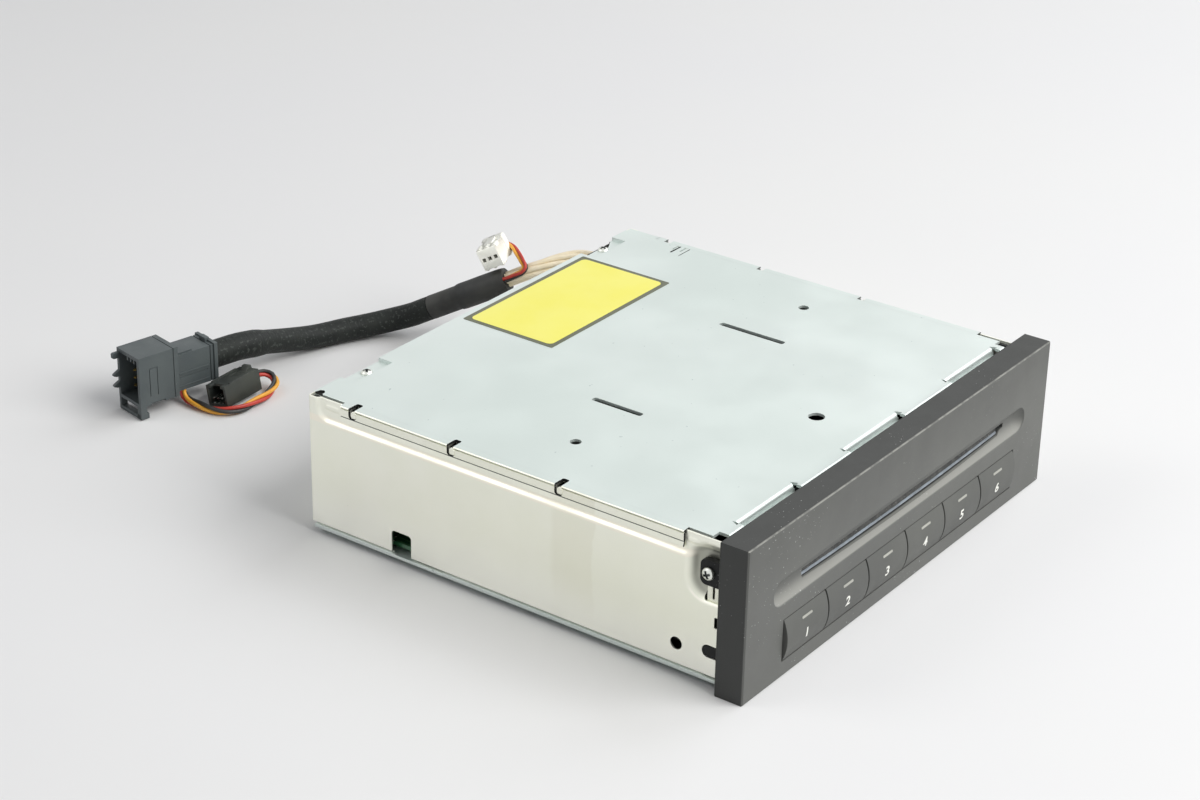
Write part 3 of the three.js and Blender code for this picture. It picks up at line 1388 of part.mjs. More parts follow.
place('rear_gland', gland(), ...rubberBlack);
place('lead_bundle', tube(bundlePath, bundleRadius), ...cream);
place('sleeve_collar', tube(collarPath, collarRadius, 12), ...rubberBlack);
place('cable_sleeve', join(tube(sleevePath, sleeveRadius), tube(sleeveEndPath, sleeveEndRadius, 12)), ...rubberBlack);

// Large plug: u runs from its mouth to its back, v across and z up; it is turned in place below
const plugMouth = [-64.9, 279.2];
const plugTurn = -11.8 * Math.PI / 180;
const plugLength = 16.6;
const plugHalf = 6.9;
const plugLow = 5;
const plugHigh = 24.2;
const plugWall = 1.3;
const plugDeep = 13;
const fingerReach = 2.6;
const fingerShares = [0.2, 0.42, 0.8];
const fingerHigh = 2.2;
const latchRear = 2.6;
const latchFoot = 0.3;
const latchWall = 1.3;
const armRear = 12;
const armHalfWide = 1.6;
const armDeep = 1.6;
const coverEnd = 34;
const coverHalfWide = 5.5;
const coverLow = 6;
const coverHigh = 20;
const coverLip = 0.6;
const coverLipLong = 1.4;

const plugPose = new THREE.Matrix4().makeRotationZ(plugTurn).setPosition(...plugMouth, 0);

function posed(matrix, geometryBody) {
  const mesh = geometryBody.getMesh();
  const geometry = new THREE.BufferGeometry();
  geometry.setAttribute('position', new THREE.BufferAttribute(new Float32Array(mesh.vertProperties), 3));
  geometry.setIndex(new THREE.BufferAttribute(new Uint32Array(mesh.triVerts), 1));
  geometry.applyMatrix4(matrix);
  return solid(geometry);
}

function plugHousing() {
  const shell = cut(
    block(0, plugLength, -plugHalf, plugHalf, plugLow, plugHigh),
    block(-over, plugDeep, -plugHalf + plugWall, plugHalf - plugWall, plugLow + plugWall, plugHigh - plugWall),
  );
  const teeth = fingerShares.map((share) => {
    const low = plugLow + share * (plugHigh - plugLow);
    return block(-fingerReach, over, plugHalf - plugWall, plugHalf, low, low + fingerHigh);
  });
  const latch = cut(
    block(-over / 2, latchRear, -plugHalf, plugHalf, latchFoot, plugLow + over / 2),
    block(-2 * over, latchRear + over, -plugHalf + 2 * latchWall, plugHalf - 2 * latchWall, latchFoot + latchWall,
      plugLow - gap),
  );
  const latchArm = block(latchRear - over / 2, armRear, -armHalfWide, armHalfWide, plugLow - armDeep,
    plugLow + over / 2);
  return join(shell, ...teeth, latch, latchArm);
}

function plugCover() {
  const body = block(plugLength + gap, coverEnd, -coverHalfWide, coverHalfWide, coverLow, coverHigh);
  const lip = block(coverEnd - coverLipLong, coverEnd, -coverHalfWide - coverLip, coverHalfWide + coverLip,
    coverLow - coverLip, coverHigh + coverLip);
  return join(body, lip);
}

place('plug_housing', posed(plugPose, plugHousing()), ...connectorGrey);
place('plug_cover', posed(plugPose, plugCover()), ...connectorGrey);

// Small plug by the floor, leaning on its three leads, and the small white plug on top of the collar
const smallPlugLong = 19;
const smallPlugWide = 9;
const smallPlugHigh = 8;
const smallPlugCorner = [-42.5, 253, 2];
const smallPlugTurn = 3 * Math.PI / 180;
const smallPlugLean = 10.2 * Math.PI / 180;
const smallPlugWall = 1;
const smallPlugDeep = 8;
const smallLeadPath = [
  [-46, 271.7, 5.7], [-46, 271.6, 4.2], [-46.2, 270.2, 2.6], [-46.5, 267.6, 1.9], [-46.8, 263, 1.9],
  [-46.6, 257, 1.9], [-44.8, 252.3, 1.9], [-40, 249.6, 1.9], [-32, 249.2, 1.9], [-24.5, 249.9, 2.1],
  [-19, 251.8, 3.2], [-16.8, 254.8, 4.4], [-17.8, 257.4, 5.2], [-20.3, 258.4, 5.5], [-22.9, 258.3, 5.5],
];
const whitePlugLong = 14;
const whitePlugWide = 10;
const whitePlugCentre = [61.4, 214.1, 38.3];
const whitePlugHole = 1.4;
const whitePlugPitch = 2.5;
const whitePlugDeep = 5;
const whiteLeadPath = [
  [68.1, 217, 38.3], [69.7, 217.7, 38.3], [72.6, 216.8, 37.2], [73.6, 213.3, 35], [71.9, 209.5, 33.2],
  [70, 206.8, 32.2], [67.7, 205.5, 31.2], [66.3, 206.2, 30.6], [65.7, 207.5, 29.95], [65.1, 209, 29.1],
];

const collarAlong = new THREE.Vector3(-0.362, 0.815, -0.453).normalize();
const collarAcross = new THREE.Vector3(0.914, 0.406, 0).normalize();
const collarUp = new THREE.Vector3().crossVectors(collarAcross, collarAlong).normalize();

function smallPlugBody() {
  return cut(
    block(0, smallPlugLong, 0, smallPlugWide, 0, smallPlugHigh),
    block(-over, smallPlugDeep, smallPlugWall, smallPlugWide - smallPlugWall, smallPlugWall,
      smallPlugHigh - smallPlugWall),
  );
}

function whitePlugBody() {
  const long = whitePlugLong / 2;
  const wide = whitePlugWide / 2;
  const hole = whitePlugHole / 2;
  const holes = [-1, 0, 1].map((i) => block(-long - over, -long + whitePlugDeep, i * whitePlugPitch - hole,
    i * whitePlugPitch + hole, -hole, hole));
  return cut(block(-long, long, -wide, wide, -wide, wide), ...holes);
}

const smallPlugPose = new THREE.Matrix4().makeRotationZ(smallPlugTurn)
  .multiply(new THREE.Matrix4().makeRotationX(-smallPlugLean)).setPosition(...smallPlugCorner);
const whitePlugPose = new THREE.Matrix4().makeBasis(collarAcross, collarAlong, collarUp)
  .setPosition(...whitePlugCentre);

place('small_plug', posed(smallPlugPose, smallPlugBody()), ...connectorGrey);
place('small_plug_leads', tube(smallLeadPath, trioRadius, leadSides), ...redLead);
place('white_plug', posed(whitePlugPose, whitePlugBody()), ...whitePlastic);
place('white_plug_leads', tube(whiteLeadPath, thinTrioRadius, leadSides), ...redLead);

// Origin below the middle of the depth, without the harness
const frontmost = -keyCrown;
const rearmost = caseRear + glandLip;
changer.children.forEach((piece) => piece.geometry.translate(0, -(frontmost + rearmost) / 2, 0));

export default changer;
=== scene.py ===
import math

import bmesh
import bpy
from mathutils import Euler, Matrix, Vector, noise


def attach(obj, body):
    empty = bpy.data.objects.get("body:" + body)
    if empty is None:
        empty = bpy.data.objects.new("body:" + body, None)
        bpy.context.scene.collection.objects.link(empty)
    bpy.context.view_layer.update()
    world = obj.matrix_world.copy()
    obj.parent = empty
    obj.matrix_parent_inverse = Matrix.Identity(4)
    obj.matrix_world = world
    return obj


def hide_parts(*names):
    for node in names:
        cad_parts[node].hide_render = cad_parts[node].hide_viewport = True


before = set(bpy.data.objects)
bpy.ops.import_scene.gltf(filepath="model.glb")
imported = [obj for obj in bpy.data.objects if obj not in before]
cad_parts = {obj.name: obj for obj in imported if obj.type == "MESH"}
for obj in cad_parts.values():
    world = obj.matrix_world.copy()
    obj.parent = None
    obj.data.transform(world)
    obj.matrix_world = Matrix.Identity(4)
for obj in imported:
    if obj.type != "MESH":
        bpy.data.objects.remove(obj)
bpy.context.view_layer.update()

depthMiddle = 86.2  # millimetres from the bezel's face back to the frame's origin


# Small tools

def spot(x, y, z):  # millimetres behind the bezel's face, to metres in the frame
    return Vector((x, y - depthMiddle, z)) / 1000


def mm(value):
    return value / 1000


def linkObject(name, data):
    made = bpy.data.objects.new(name, data)
    bpy.context.scene.collection.objects.link(made)
    return made


def meshFrom(name, points, faces, material=None, smoothDegrees=35):
    mesh = bpy.data.meshes.new(name)
    mesh.from_pydata([tuple(point) for point in points], [], faces)
    if material:
        mesh.materials.append(material)
    made = linkObject(name, mesh)
    outward(made)
    smoothByAngle(made, smoothDegrees)
    return made


def outward(piece):  # merges doubles and turns the faces out
    shape = bmesh.new()
    shape.from_mesh(piece.data)
    bmesh.ops.remove_doubles(shape, verts=shape.verts, dist=2e-6)
    bmesh.ops.recalc_face_normals(shape, faces=shape.faces)
    shape.to_mesh(piece.data)
    shape.free()


def smoothByAngle(piece, degrees):
    mesh = piece.data
    mesh.polygons.foreach_set("use_smooth", [True] * len(mesh.polygons))
    mesh.set_sharp_from_angle(angle=math.radians(degrees))


def steadyNormals(piece):  # large flat faces keep their own normal beside rounded edges
    step = piece.modifiers.new("normals", "WEIGHTED_NORMAL")
    step.weight = 100
    step.keep_sharp = True
    settle(piece)
    return piece


def settle(piece):  # bakes the modifiers and the place into the mesh
    bpy.context.view_layer.update()
    graph = bpy.context.evaluated_depsgraph_get()
    made = bpy.data.meshes.new_from_object(piece.evaluated_get(graph), depsgraph=graph)
    made.transform(piece.matrix_world)
    piece.modifiers.clear()
    if piece.type == "MESH":
        piece.data = made
        piece.matrix_world = Matrix.Identity(4)
        made.name = piece.name
        return piece
    name = piece.name
    bpy.data.objects.remove(piece)
    made.name = name
    return linkObject(name, made)


def joinPieces(name, parts):
    shape = bmesh.new()
    materials = []
    for part in parts:
        start = len(shape.faces)
        shape.from_mesh(part.data)
        shape.faces.ensure_lookup_table()
        own = list(part.data.materials)
        for material in own:
            if material not in materials:
                materials.append(material)
        for face in shape.faces[start:]:
            if own:
                face.material_index = materials.index(own[min(face.material_index, len(own) - 1)])
    mesh = bpy.data.meshes.new(name)
    shape.to_mesh(mesh)
    shape.free()
    for material in materials:
        mesh.materials.append(material)
    for part in parts:
        bpy.data.objects.remove(part)
    return linkObject(name, mesh)


def bevelEdges(piece, width, segments=2, degrees=30):
    edge = piece.modifiers.new("edges", "BEVEL")
    edge.width = mm(width)
    edge.segments = segments
    edge.limit_method = "ANGLE"
    edge.angle_limit = math.radians(degrees)
    settle(piece)
    smoothByAngle(piece, 35)
    return steadyNormals(piece)


def finishedCopy(node, name, width, segments=2, material=None):  # a CAD shape with its edges rounded
    piece = linkObject(name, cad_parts[node].data.copy())
    shape = bmesh.new()
    shape.from_mesh(piece.data)
    bmesh.ops.remove_doubles(shape, verts=shape.verts, dist=3e-6)
    bmesh.ops.dissolve_limit(shape, angle_limit=math.radians(0.6), verts=shape.verts, edges=shape.edges)
    shape.to_mesh(piece.data)
    shape.free()
    piece.data.materials.clear()
    if material:
        piece.data.materials.append(material)
    if width:
        return bevelEdges(piece, width, segments)
    smoothByAngle(piece, 28)
    return piece


def dress(piece, body, slotName, *nodes):
    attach(piece, body)
    if nodes:
        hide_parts(*nodes)
    return piece


boxFaces = [(0, 1, 3, 2), (4, 6, 7, 5), (0, 4, 5, 1), (2, 3, 7, 6), (0, 2, 6, 4), (1, 5, 7, 3)]


def boxPiece(name, limits, material=None):  # limits as x0, x1, y0, y1, z0, z1
    x0, x1, y0, y1, z0, z1 = limits
    points = [spot(x, y, z) for x in (x0, x1) for y in (y0, y1) for z in (z0, z1)]
    return meshFrom(name, points, boxFaces, material)


def prismFaces(count):
    ends = [tuple(range(count)), tuple(range(2 * count - 1, count - 1, -1))]
    return ends + [(i, (i + 1) % count, (i + 1) % count + count, i + count) for i in range(count)]


def prism(name, outline, axis, low, high, material=None):  # outline as (a, b) pairs across the axis
    points = []
    for c in (low, high):
        points += [spot(*{"x": (c, a, b), "y": (a, c, b), "z": (a, b, c)}[axis]) for a, b in outline]
    return meshFrom(name, points, prismFaces(len(outline)), material)


def ringFaces(rings, sides, start=0):  # the skin between closed rings of points
    faces = []
    for i in range(rings - 1):
        for k in range(sides):
            a, b = start + i * sides + k, start + i * sides + (k + 1) % sides
            faces.append((a, b, b + sides, a + sides))
    return faces


def sideSpan(side, near, far):  # a stretch of x on the left (-1) or the right (1), in rising order
    return sorted((side * near, side * far))


def roundOutline(a0, a1, b0, b1, radius, steps=6):
    corners = [(a1 - radius, b0 + radius, -90), (a1 - radius, b1 - radius, 0),
               (a0 + radius, b1 - radius, 90), (a0 + radius, b0 + radius, 180)]
    outline = []
    for a, b, start in corners:
        for i in range(steps + 1):
            angle = math.radians(start + 90 * i / steps)
            outline.append((a + radius * math.cos(angle), b + radius * math.sin(angle)))
    return outline


def circleOutline(a, b, radius, steps=32):
    return [(a + radius * math.cos(math.tau * i / steps), b + radius * math.sin(math.tau * i / steps))
            for i in range(steps)]


def carve(piece, cutters, way="DIFFERENCE"):
    for cutter in cutters:
        step = piece.modifiers.new("cut", "BOOLEAN")
        step.operation = way
        step.solver = "EXACT"
        step.object = cutter
    settle(piece)
    for cutter in cutters:
        bpy.data.objects.remove(cutter)
    return piece


def softStep(value, start, end):  # 0 at start, 1 at end, with soft ends
    share = min(max((value - start) / (end - start), 0), 1)
    return share * share * (3 - 2 * share)


def roundedReach(a, b, a0, a1, b0, b1, radius):  # distance to a rounded rectangle, negative inside
    halfA, halfB = (a1 - a0) / 2 - radius, (b1 - b0) / 2 - radius
    awayA = abs(a - (a0 + a1) / 2) - halfA
    awayB = abs(b - (b0 + b1) / 2) - halfB
    outside = math.hypot(max(awayA, 0), max(awayB, 0))
    return outside + min(max(awayA, awayB), 0) - radius


def spread(*pieces):  # (start, end, step) stretches to one rising list of places
    places = []
    for start, end, step in pieces:
        count = max(1, round((end - start) / step))
        places += [start + (end - start) * i / count for i in range(count)]
    return places + [pieces[-1][1]]


# Camera, floor and light

shot = {
    "place": (-0.68206, -0.45615, 0.44163),
    "turnDegrees": (63.85, -1.051, -53.781),
    "lens": 82.88,
    "sensorWidth": 36,
    "skyColour": (0.80, 0.81, 0.84, 1),
    "skyStrength": 0.25,  # what lights the object
    "backdropColour": (0.88, 0.885, 0.885, 1),  # what the camera and the metal see
    "floorColour": (0.82, 0.82, 0.82, 1),
    "floorDrift": (0.81, 0.81, 0.82, 1),
    "floorHalf": 4.0,
    "lampAim": (0, 0, 0.03),
}
lamps = {  # name: place, size, power, colour
    "keyLamp": ((0.35, -1.5, 1.3), 1.6, 45, (1.0, 0.995, 0.975)),
    "backLamp": ((-0.9, 0.95, 1.24), 0.9, 4.0, (1.0, 0.995, 0.97)),
    "sideLamp": ((1.35, -0.35, 1.35), 1.2, 11, (0.97, 0.985, 1.0)),
}


def makeShot():
    camera = linkObject("camera", bpy.data.cameras.new("camera"))
    camera.location = shot["place"]
    camera.rotation_euler = [math.radians(angle) for angle in shot["turnDegrees"]]
    camera.data.lens = shot["lens"]
    camera.data.sensor_width = shot["sensorWidth"]
    camera.data.clip_start = 0.01
    bpy.context.scene.camera = camera
    bpy.context.scene.view_settings.view_transform = "Standard"
    world = bpy.data.worlds.new("studio")
    world.use_nodes = True
    tree = world.node_tree
    tree.nodes.clear()
    sky = put(tree, "ShaderNodeBackground", None, Color=shot["skyColour"], Strength=shot["skyStrength"])
    backdrop = put(tree, "ShaderNodeBackground", None, Color=shot["backdropColour"], Strength=1.0)
    ray = put(tree, "ShaderNodeLightPath")
    seen = ray.outputs["Is Camera Ray"]
    for kind in ("Is Glossy Ray", "Is Transmission Ray"):
        seen = maths(tree, "MAXIMUM", seen, ray.outputs[kind])
    both = put(tree, "ShaderNodeMixShader")
    feed(tree, both.inputs, (seen, sky.outputs[0], backdrop.outputs[0]))
    output = put(tree, "ShaderNodeOutputWorld")
    tree.links.new(both.outputs[0], output.inputs[0])
    bpy.context.scene.world = world
    for name, (place, size, power, colour) in lamps.items():
        data = bpy.data.lights.new(name, "AREA")
        data.size = size
        data.energy = power
        data.color = colour
        lamp = linkObject(name, data)
        lamp.location = place
        lamp.rotation_euler = (Vector(shot["lampAim"]) - Vector(place)).to_track_quat("-Z", "Y").to_euler()
    half = shot["floorHalf"]
    corners = [(-half, -half, 0), (half, -half, 0), (half, half, 0), (-half, half, 0)]
    floor = meshFrom("floor", corners, [(0, 1, 2, 3)], floorPaper())


# Finishes

def feed(tree, sockets, values):  # links what is a socket, sets what is a plain value
    for socket, value in zip(sockets, values):
        if isinstance(value, bpy.types.NodeSocket):
            tree.links.new(value, socket)
        elif value is not None:
            socket.default_value = value


def put(tree, kind, props=None, **sockets):
    made = tree.nodes.new(kind)
    for key, value in (props or {}).items():
        setattr(made, key, value)
    feed(tree, [made.inputs[key.replace("_", " ")] for key in sockets], sockets.values())
    return made


def maths(tree, operation, *values):
    made = put(tree, "ShaderNodeMath", {"operation": operation})
    feed(tree, made.inputs, values)
    return made.outputs[0]


def times(tree, first, second):
    return maths(tree, "MULTIPLY", first, second)


def mixColour(tree, share, first, second):
    made = put(tree, "ShaderNodeMix", {"data_type": "RGBA"})
    feed(tree, [made.inputs[index] for index in (0, 6, 7)], (share, first, second))
    return made.outputs[2]


def ramp(tree, value, low, high, toLow=0.0, toHigh=1.0):
    return put(tree, "ShaderNodeMapRange", {"interpolation_type": "SMOOTHSTEP"}, Value=value, From_Min=low,
               From_Max=high, To_Min=toLow, To_Max=toHigh).outputs[0]


def cloud(tree, at, scale, detail=4.0, rough=0.55, stretch=None):
    if stretch:
        at = put(tree, "ShaderNodeMapping", None, Vector=at, Scale=stretch).outputs[0]
    return put(tree, "ShaderNodeTexNoise", None, Vector=at, Scale=scale, Detail=detail,
               Roughness=rough).outputs[0]


def shade(red, green, blue):  # a colour as seen on screen, 0 to 255, to linear light
    def linear(value):
        value /= 255
        return value / 12.92 if value <= 0.04045 else ((value + 0.055) / 1.055) ** 2.4
    return (linear(red), linear(green), linear(blue), 1.0)


def light(colour):  # three values are as seen on screen, four are linear light
    return shade(*colour) if len(colour) == 3 else colour


def finish(name, look, extra=None):
    material = bpy.data.materials.new(name)
    material.use_nodes = True
    tree = material.node_tree
    tree.nodes.clear()
    surface = put(tree, "ShaderNodeBsdfPrincipled")
    output = put(tree, "ShaderNodeOutputMaterial")
    tree.links.new(surface.outputs[0], output.inputs[0])
    where = put(tree, "ShaderNodeTexCoord")
    at = where.outputs["UV" if look.get("onUv") else "Object"]
    driftColour, driftScale = look["drift"]
    drift = ramp(tree, cloud(tree, at, driftScale, 5.0), 0.32, 0.68)
    colour = mixColour(tree, drift, light(look["colour"]), light(driftColour))
    if "specks" in look:
        speckColour, speckScale, start = look["specks"]
        specks = ramp(tree, cloud(tree, at, speckScale, 2.0, 0.6), start, start + 0.05)
        colour = mixColour(tree, specks, colour, light(speckColour))
    gloss = ramp(tree, cloud(tree, at, look.get("glossScale", 90), 4.0, 0.6), 0.3, 0.7, *look["rough"])
    grainScale, depth, *strength = look["grain"]
    grain = cloud(tree, at, grainScale, 3.0, 0.6, look.get("grainStretch"))
    height = put(tree, "ShaderNodeBump", None, Strength=strength[0] if strength else 0.35,
                 Distance=mm(depth), Height=grain)
    for key, socketName in (("metal", "Metallic"), ("specular", "Specular IOR Level"),
                            ("sheen", "Sheen Weight"), ("coat", "Coat Weight")):
        if key in look:
            surface.inputs[socketName].default_value = look[key]
    surface.inputs["Sheen Roughness"].default_value = 0.5
    surface.inputs["Coat Roughness"].default_value = 0.25
    if extra:
        colour = extra(tree, at, colour)
    tree.links.new(colour, surface.inputs["Base Color"])
    tree.links.new(gloss, surface.inputs["Roughness"])
    tree.links.new(height.outputs[0], surface.inputs["Normal"])
    return material


def floorPaper():
    return finish("floorPaper", {"colour": shot["floorColour"], "drift": (shot["floorDrift"], 3),
                                 "rough": (0.75, 0.9), "grain": (900, 0.05, 0.1), "specular": 0.15})


def slope(tree, value, limits, start=0.0, end=1.0):  # from start to end between two limits in millimetres
    return ramp(tree, value, mm(limits[0]), mm(limits[1]), start, end)


def band(tree, value, low, high, soft):  # 1 between two limits in millimetres, soft at both
    return times(tree, slope(tree, value, (low - soft, low)),
                 slope(tree, value, (high, high + soft), 1.0, 0.0))


wallMarks = {  # limits in millimetres of the frame, the share of cover and the colour of each mark
    "wobble": 5, "tapeFront": (-27, -26), "tapeRear": (-12, -9), "tapeCover": 0.14,
    "tapeColour": (205, 199, 172),
    # painted highlight: a warm bright band along the shoulder above the pressed strip
    "bendHighlight": (41.9, 43.4, 0.9), "bendOut": (86, 87), "bendHighlightCover": (0.85, 1.0),
    "bendHighlightColour": (0.97, 0.93, 0.81, 1),
    # painted light: the wall grows brighter towards its foot
    "foot": (3, 24), "footLightCover": 0.9, "footLightColour": (1.0, 1.0, 0.93, 1),
    # painted shade in the front pocket, and a painted highlight on its lower rim
    "pocketEnd": (-64.5, -61.5), "pocketHigh": (26, 45, 1), "pocketOut": (86.6, 88.5), "pocketShadeCover": 0.7,
    "pocketShadeColour": (120, 121, 112),
    "rim": (88.8, 89.08, 0.06), "rimHigh": (30, 33), "rimHighlightColour": (1.0, 0.98, 0.88, 1),
}


def wallStain(tree, at, colour):  # an old tape mark, a painted highlight along the shoulder, painted light towards the foot, painted shade in the pocket and a painted highlight on the pocket's rim
    marks = wallMarks
    x, y, z = put(tree, "ShaderNodeSeparateXYZ", None, Vector=at).outputs
    away = maths(tree, "ABSOLUTE", x)
    along = maths(tree, "MULTIPLY_ADD", cloud(tree, at, 60, 3.0), mm(marks["wobble"]), y)
    tape = times(tree, slope(tree, along, marks["tapeFront"]),
                 slope(tree, along, marks["tapeRear"], 1.0, 0.0))
    colour = mixColour(tree, times(tree, tape, marks["tapeCover"]), colour, light(marks["tapeColour"]))
    # painted highlight along the shoulder, patchy with noise
    bendHighlight = times(tree, band(tree, z, *marks["bendHighlight"]), slope(tree, away, marks["bendOut"]))
    bendHighlight = times(tree, bendHighlight, ramp(tree, cloud(tree, at, 30, 2.0), 0.3, 0.6, *marks["bendHighlightCover"]))
    colour = mixColour(tree, bendHighlight, colour, marks["bendHighlightColour"])
    # painted light towards the foot
    colour = mixColour(tree, slope(tree, z, marks["foot"], marks["footLightCover"], 0.0), colour,
                       marks["footLightColour"])
    # painted shade, heavier deeper in the pocket
    pocket = times(tree, slope(tree, y, marks["pocketEnd"], 1.0, 0.0), band(tree, z, *marks["pocketHigh"]))
    deep = times(tree, pocket, slope(tree, away, marks["pocketOut"], marks["pocketShadeCover"], 0.0))
    colour = mixColour(tree, deep, colour, light(marks["pocketShadeColour"]))
    # painted highlight on the pocket's lower rim
    rim = times(tree, pocket, band(tree, away, *marks["rim"]))
    rim = times(tree, rim, slope(tree, z, marks["rimHigh"], 1.0, 0.0))
    return mixColour(tree, rim, colour, marks["rimHighlightColour"])


bezelMarks = {
    # painted shade: all but the face and the trough take the shaded side colours, heavier further back
    "face": (-85.9, -85.5), "sides": (-77, -75), "shadedSideColours": ((69, 70, 69), (33, 34, 34)),
    "troughDeep": (-85.7, -83.7, 0.4), "troughHigh": (25.6, 34.8, 0.3), "troughWide": (-76.8, 76.8, 0.5),
    "upper": (30, 52), "upperCover": 0.5, "upperColour": (78, 79, 77),
    # painted light on the trough's lower slope
    "troughLight": (25.6, 30.5), "troughLightCover": 0.85, "troughLightColour": (150, 150, 145),
    # painted highlight along the front top edge
    "edge": (52.22, 53, 0.1), "edgeHighlightCover": (0.15, 0.6), "edgeHighlightColour": (158, 158, 152),
    "dustColour": (176, 178, 176),
}


def bezelWear(tree, at, colour):  # painted shade on the sides, top and inside, heavier further back; the face painted darker towards its top; painted light on the trough's lower slope; a painted highlight along the front top edge; dust specks
    marks = bezelMarks
    x, y, z = put(tree, "ShaderNodeSeparateXYZ", None, Vector=at).outputs
    face = slope(tree, y, marks["face"], 1.0, 0.0)
    # painted shade for the sides, top and inside
    paintedShade = mixColour(tree, slope(tree, y, marks["sides"]), *[light(each) for each in marks["shadedSideColours"]])
    trough = times(tree, band(tree, y, *marks["troughDeep"]), band(tree, z, *marks["troughHigh"]))
    trough = times(tree, trough, band(tree, x, *marks["troughWide"]))
    # the face is painted darker towards its top
    upper = slope(tree, z, marks["upper"], 0.0, marks["upperCover"])
    colour = mixColour(tree, upper, colour, light(marks["upperColour"]))
    # painted light on the trough's lower slope, fading upwards
    troughLight = times(tree, trough, slope(tree, z, marks["troughLight"], marks["troughLightCover"], 0.0))
    colour = mixColour(tree, troughLight, colour, light(marks["troughLightColour"]))
    colour = mixColour(tree, maths(tree, "MAXIMUM", face, trough), paintedShade, colour)
    # painted highlight along the front top edge, patchy with noise
    edge = times(tree, band(tree, z, *marks["edge"]), face)
    edge = times(tree, edge, ramp(tree, cloud(tree, at, 260, 3.0), 0.35, 0.6, *marks["edgeHighlightCover"]))
    colour = mixColour(tree, edge, colour, light(marks["edgeHighlightColour"]))
    dust = ramp(tree, cloud(tree, at, 1500, 1.0), 0.73, 0.76)
    dust = times(tree, dust, ramp(tree, cloud(tree, at, 40, 2.0), 0.5, 0.62))
    return mixColour(tree, dust, colour, light(marks["dustColour"]))


def boardTracks(tree, at, colour):  # copper tracks under green lacquer and bare pads
    waves = []
    for direction in ("X", "Y"):
        wave = put(tree, "ShaderNodeTexWave", {"bands_direction": direction}, Vector=at, Scale=160.0,
                   Distortion=1.2)
        waves.append(ramp(tree, wave.outputs[1], 0.72, 0.8))
    area = ramp(tree, cloud(tree, at, 70, 1.0), 0.48, 0.5)
    tracks = mixColour(tree, area, (0, 0, 0, 1), (1, 1, 1, 1))
    lines = mixColour(tree, tracks, waves[0], waves[1])
    colour = mixColour(tree, lines, colour, shade(88, 140, 92))
    pads = put(tree, "ShaderNodeTexVoronoi", None, Vector=at, Scale=420.0)
    dots = ramp(tree, pads.outputs["Distance"], 0.16, 0.2, 1.0, 0.0)
    return mixColour(tree, dots, colour, shade(196, 200, 190))


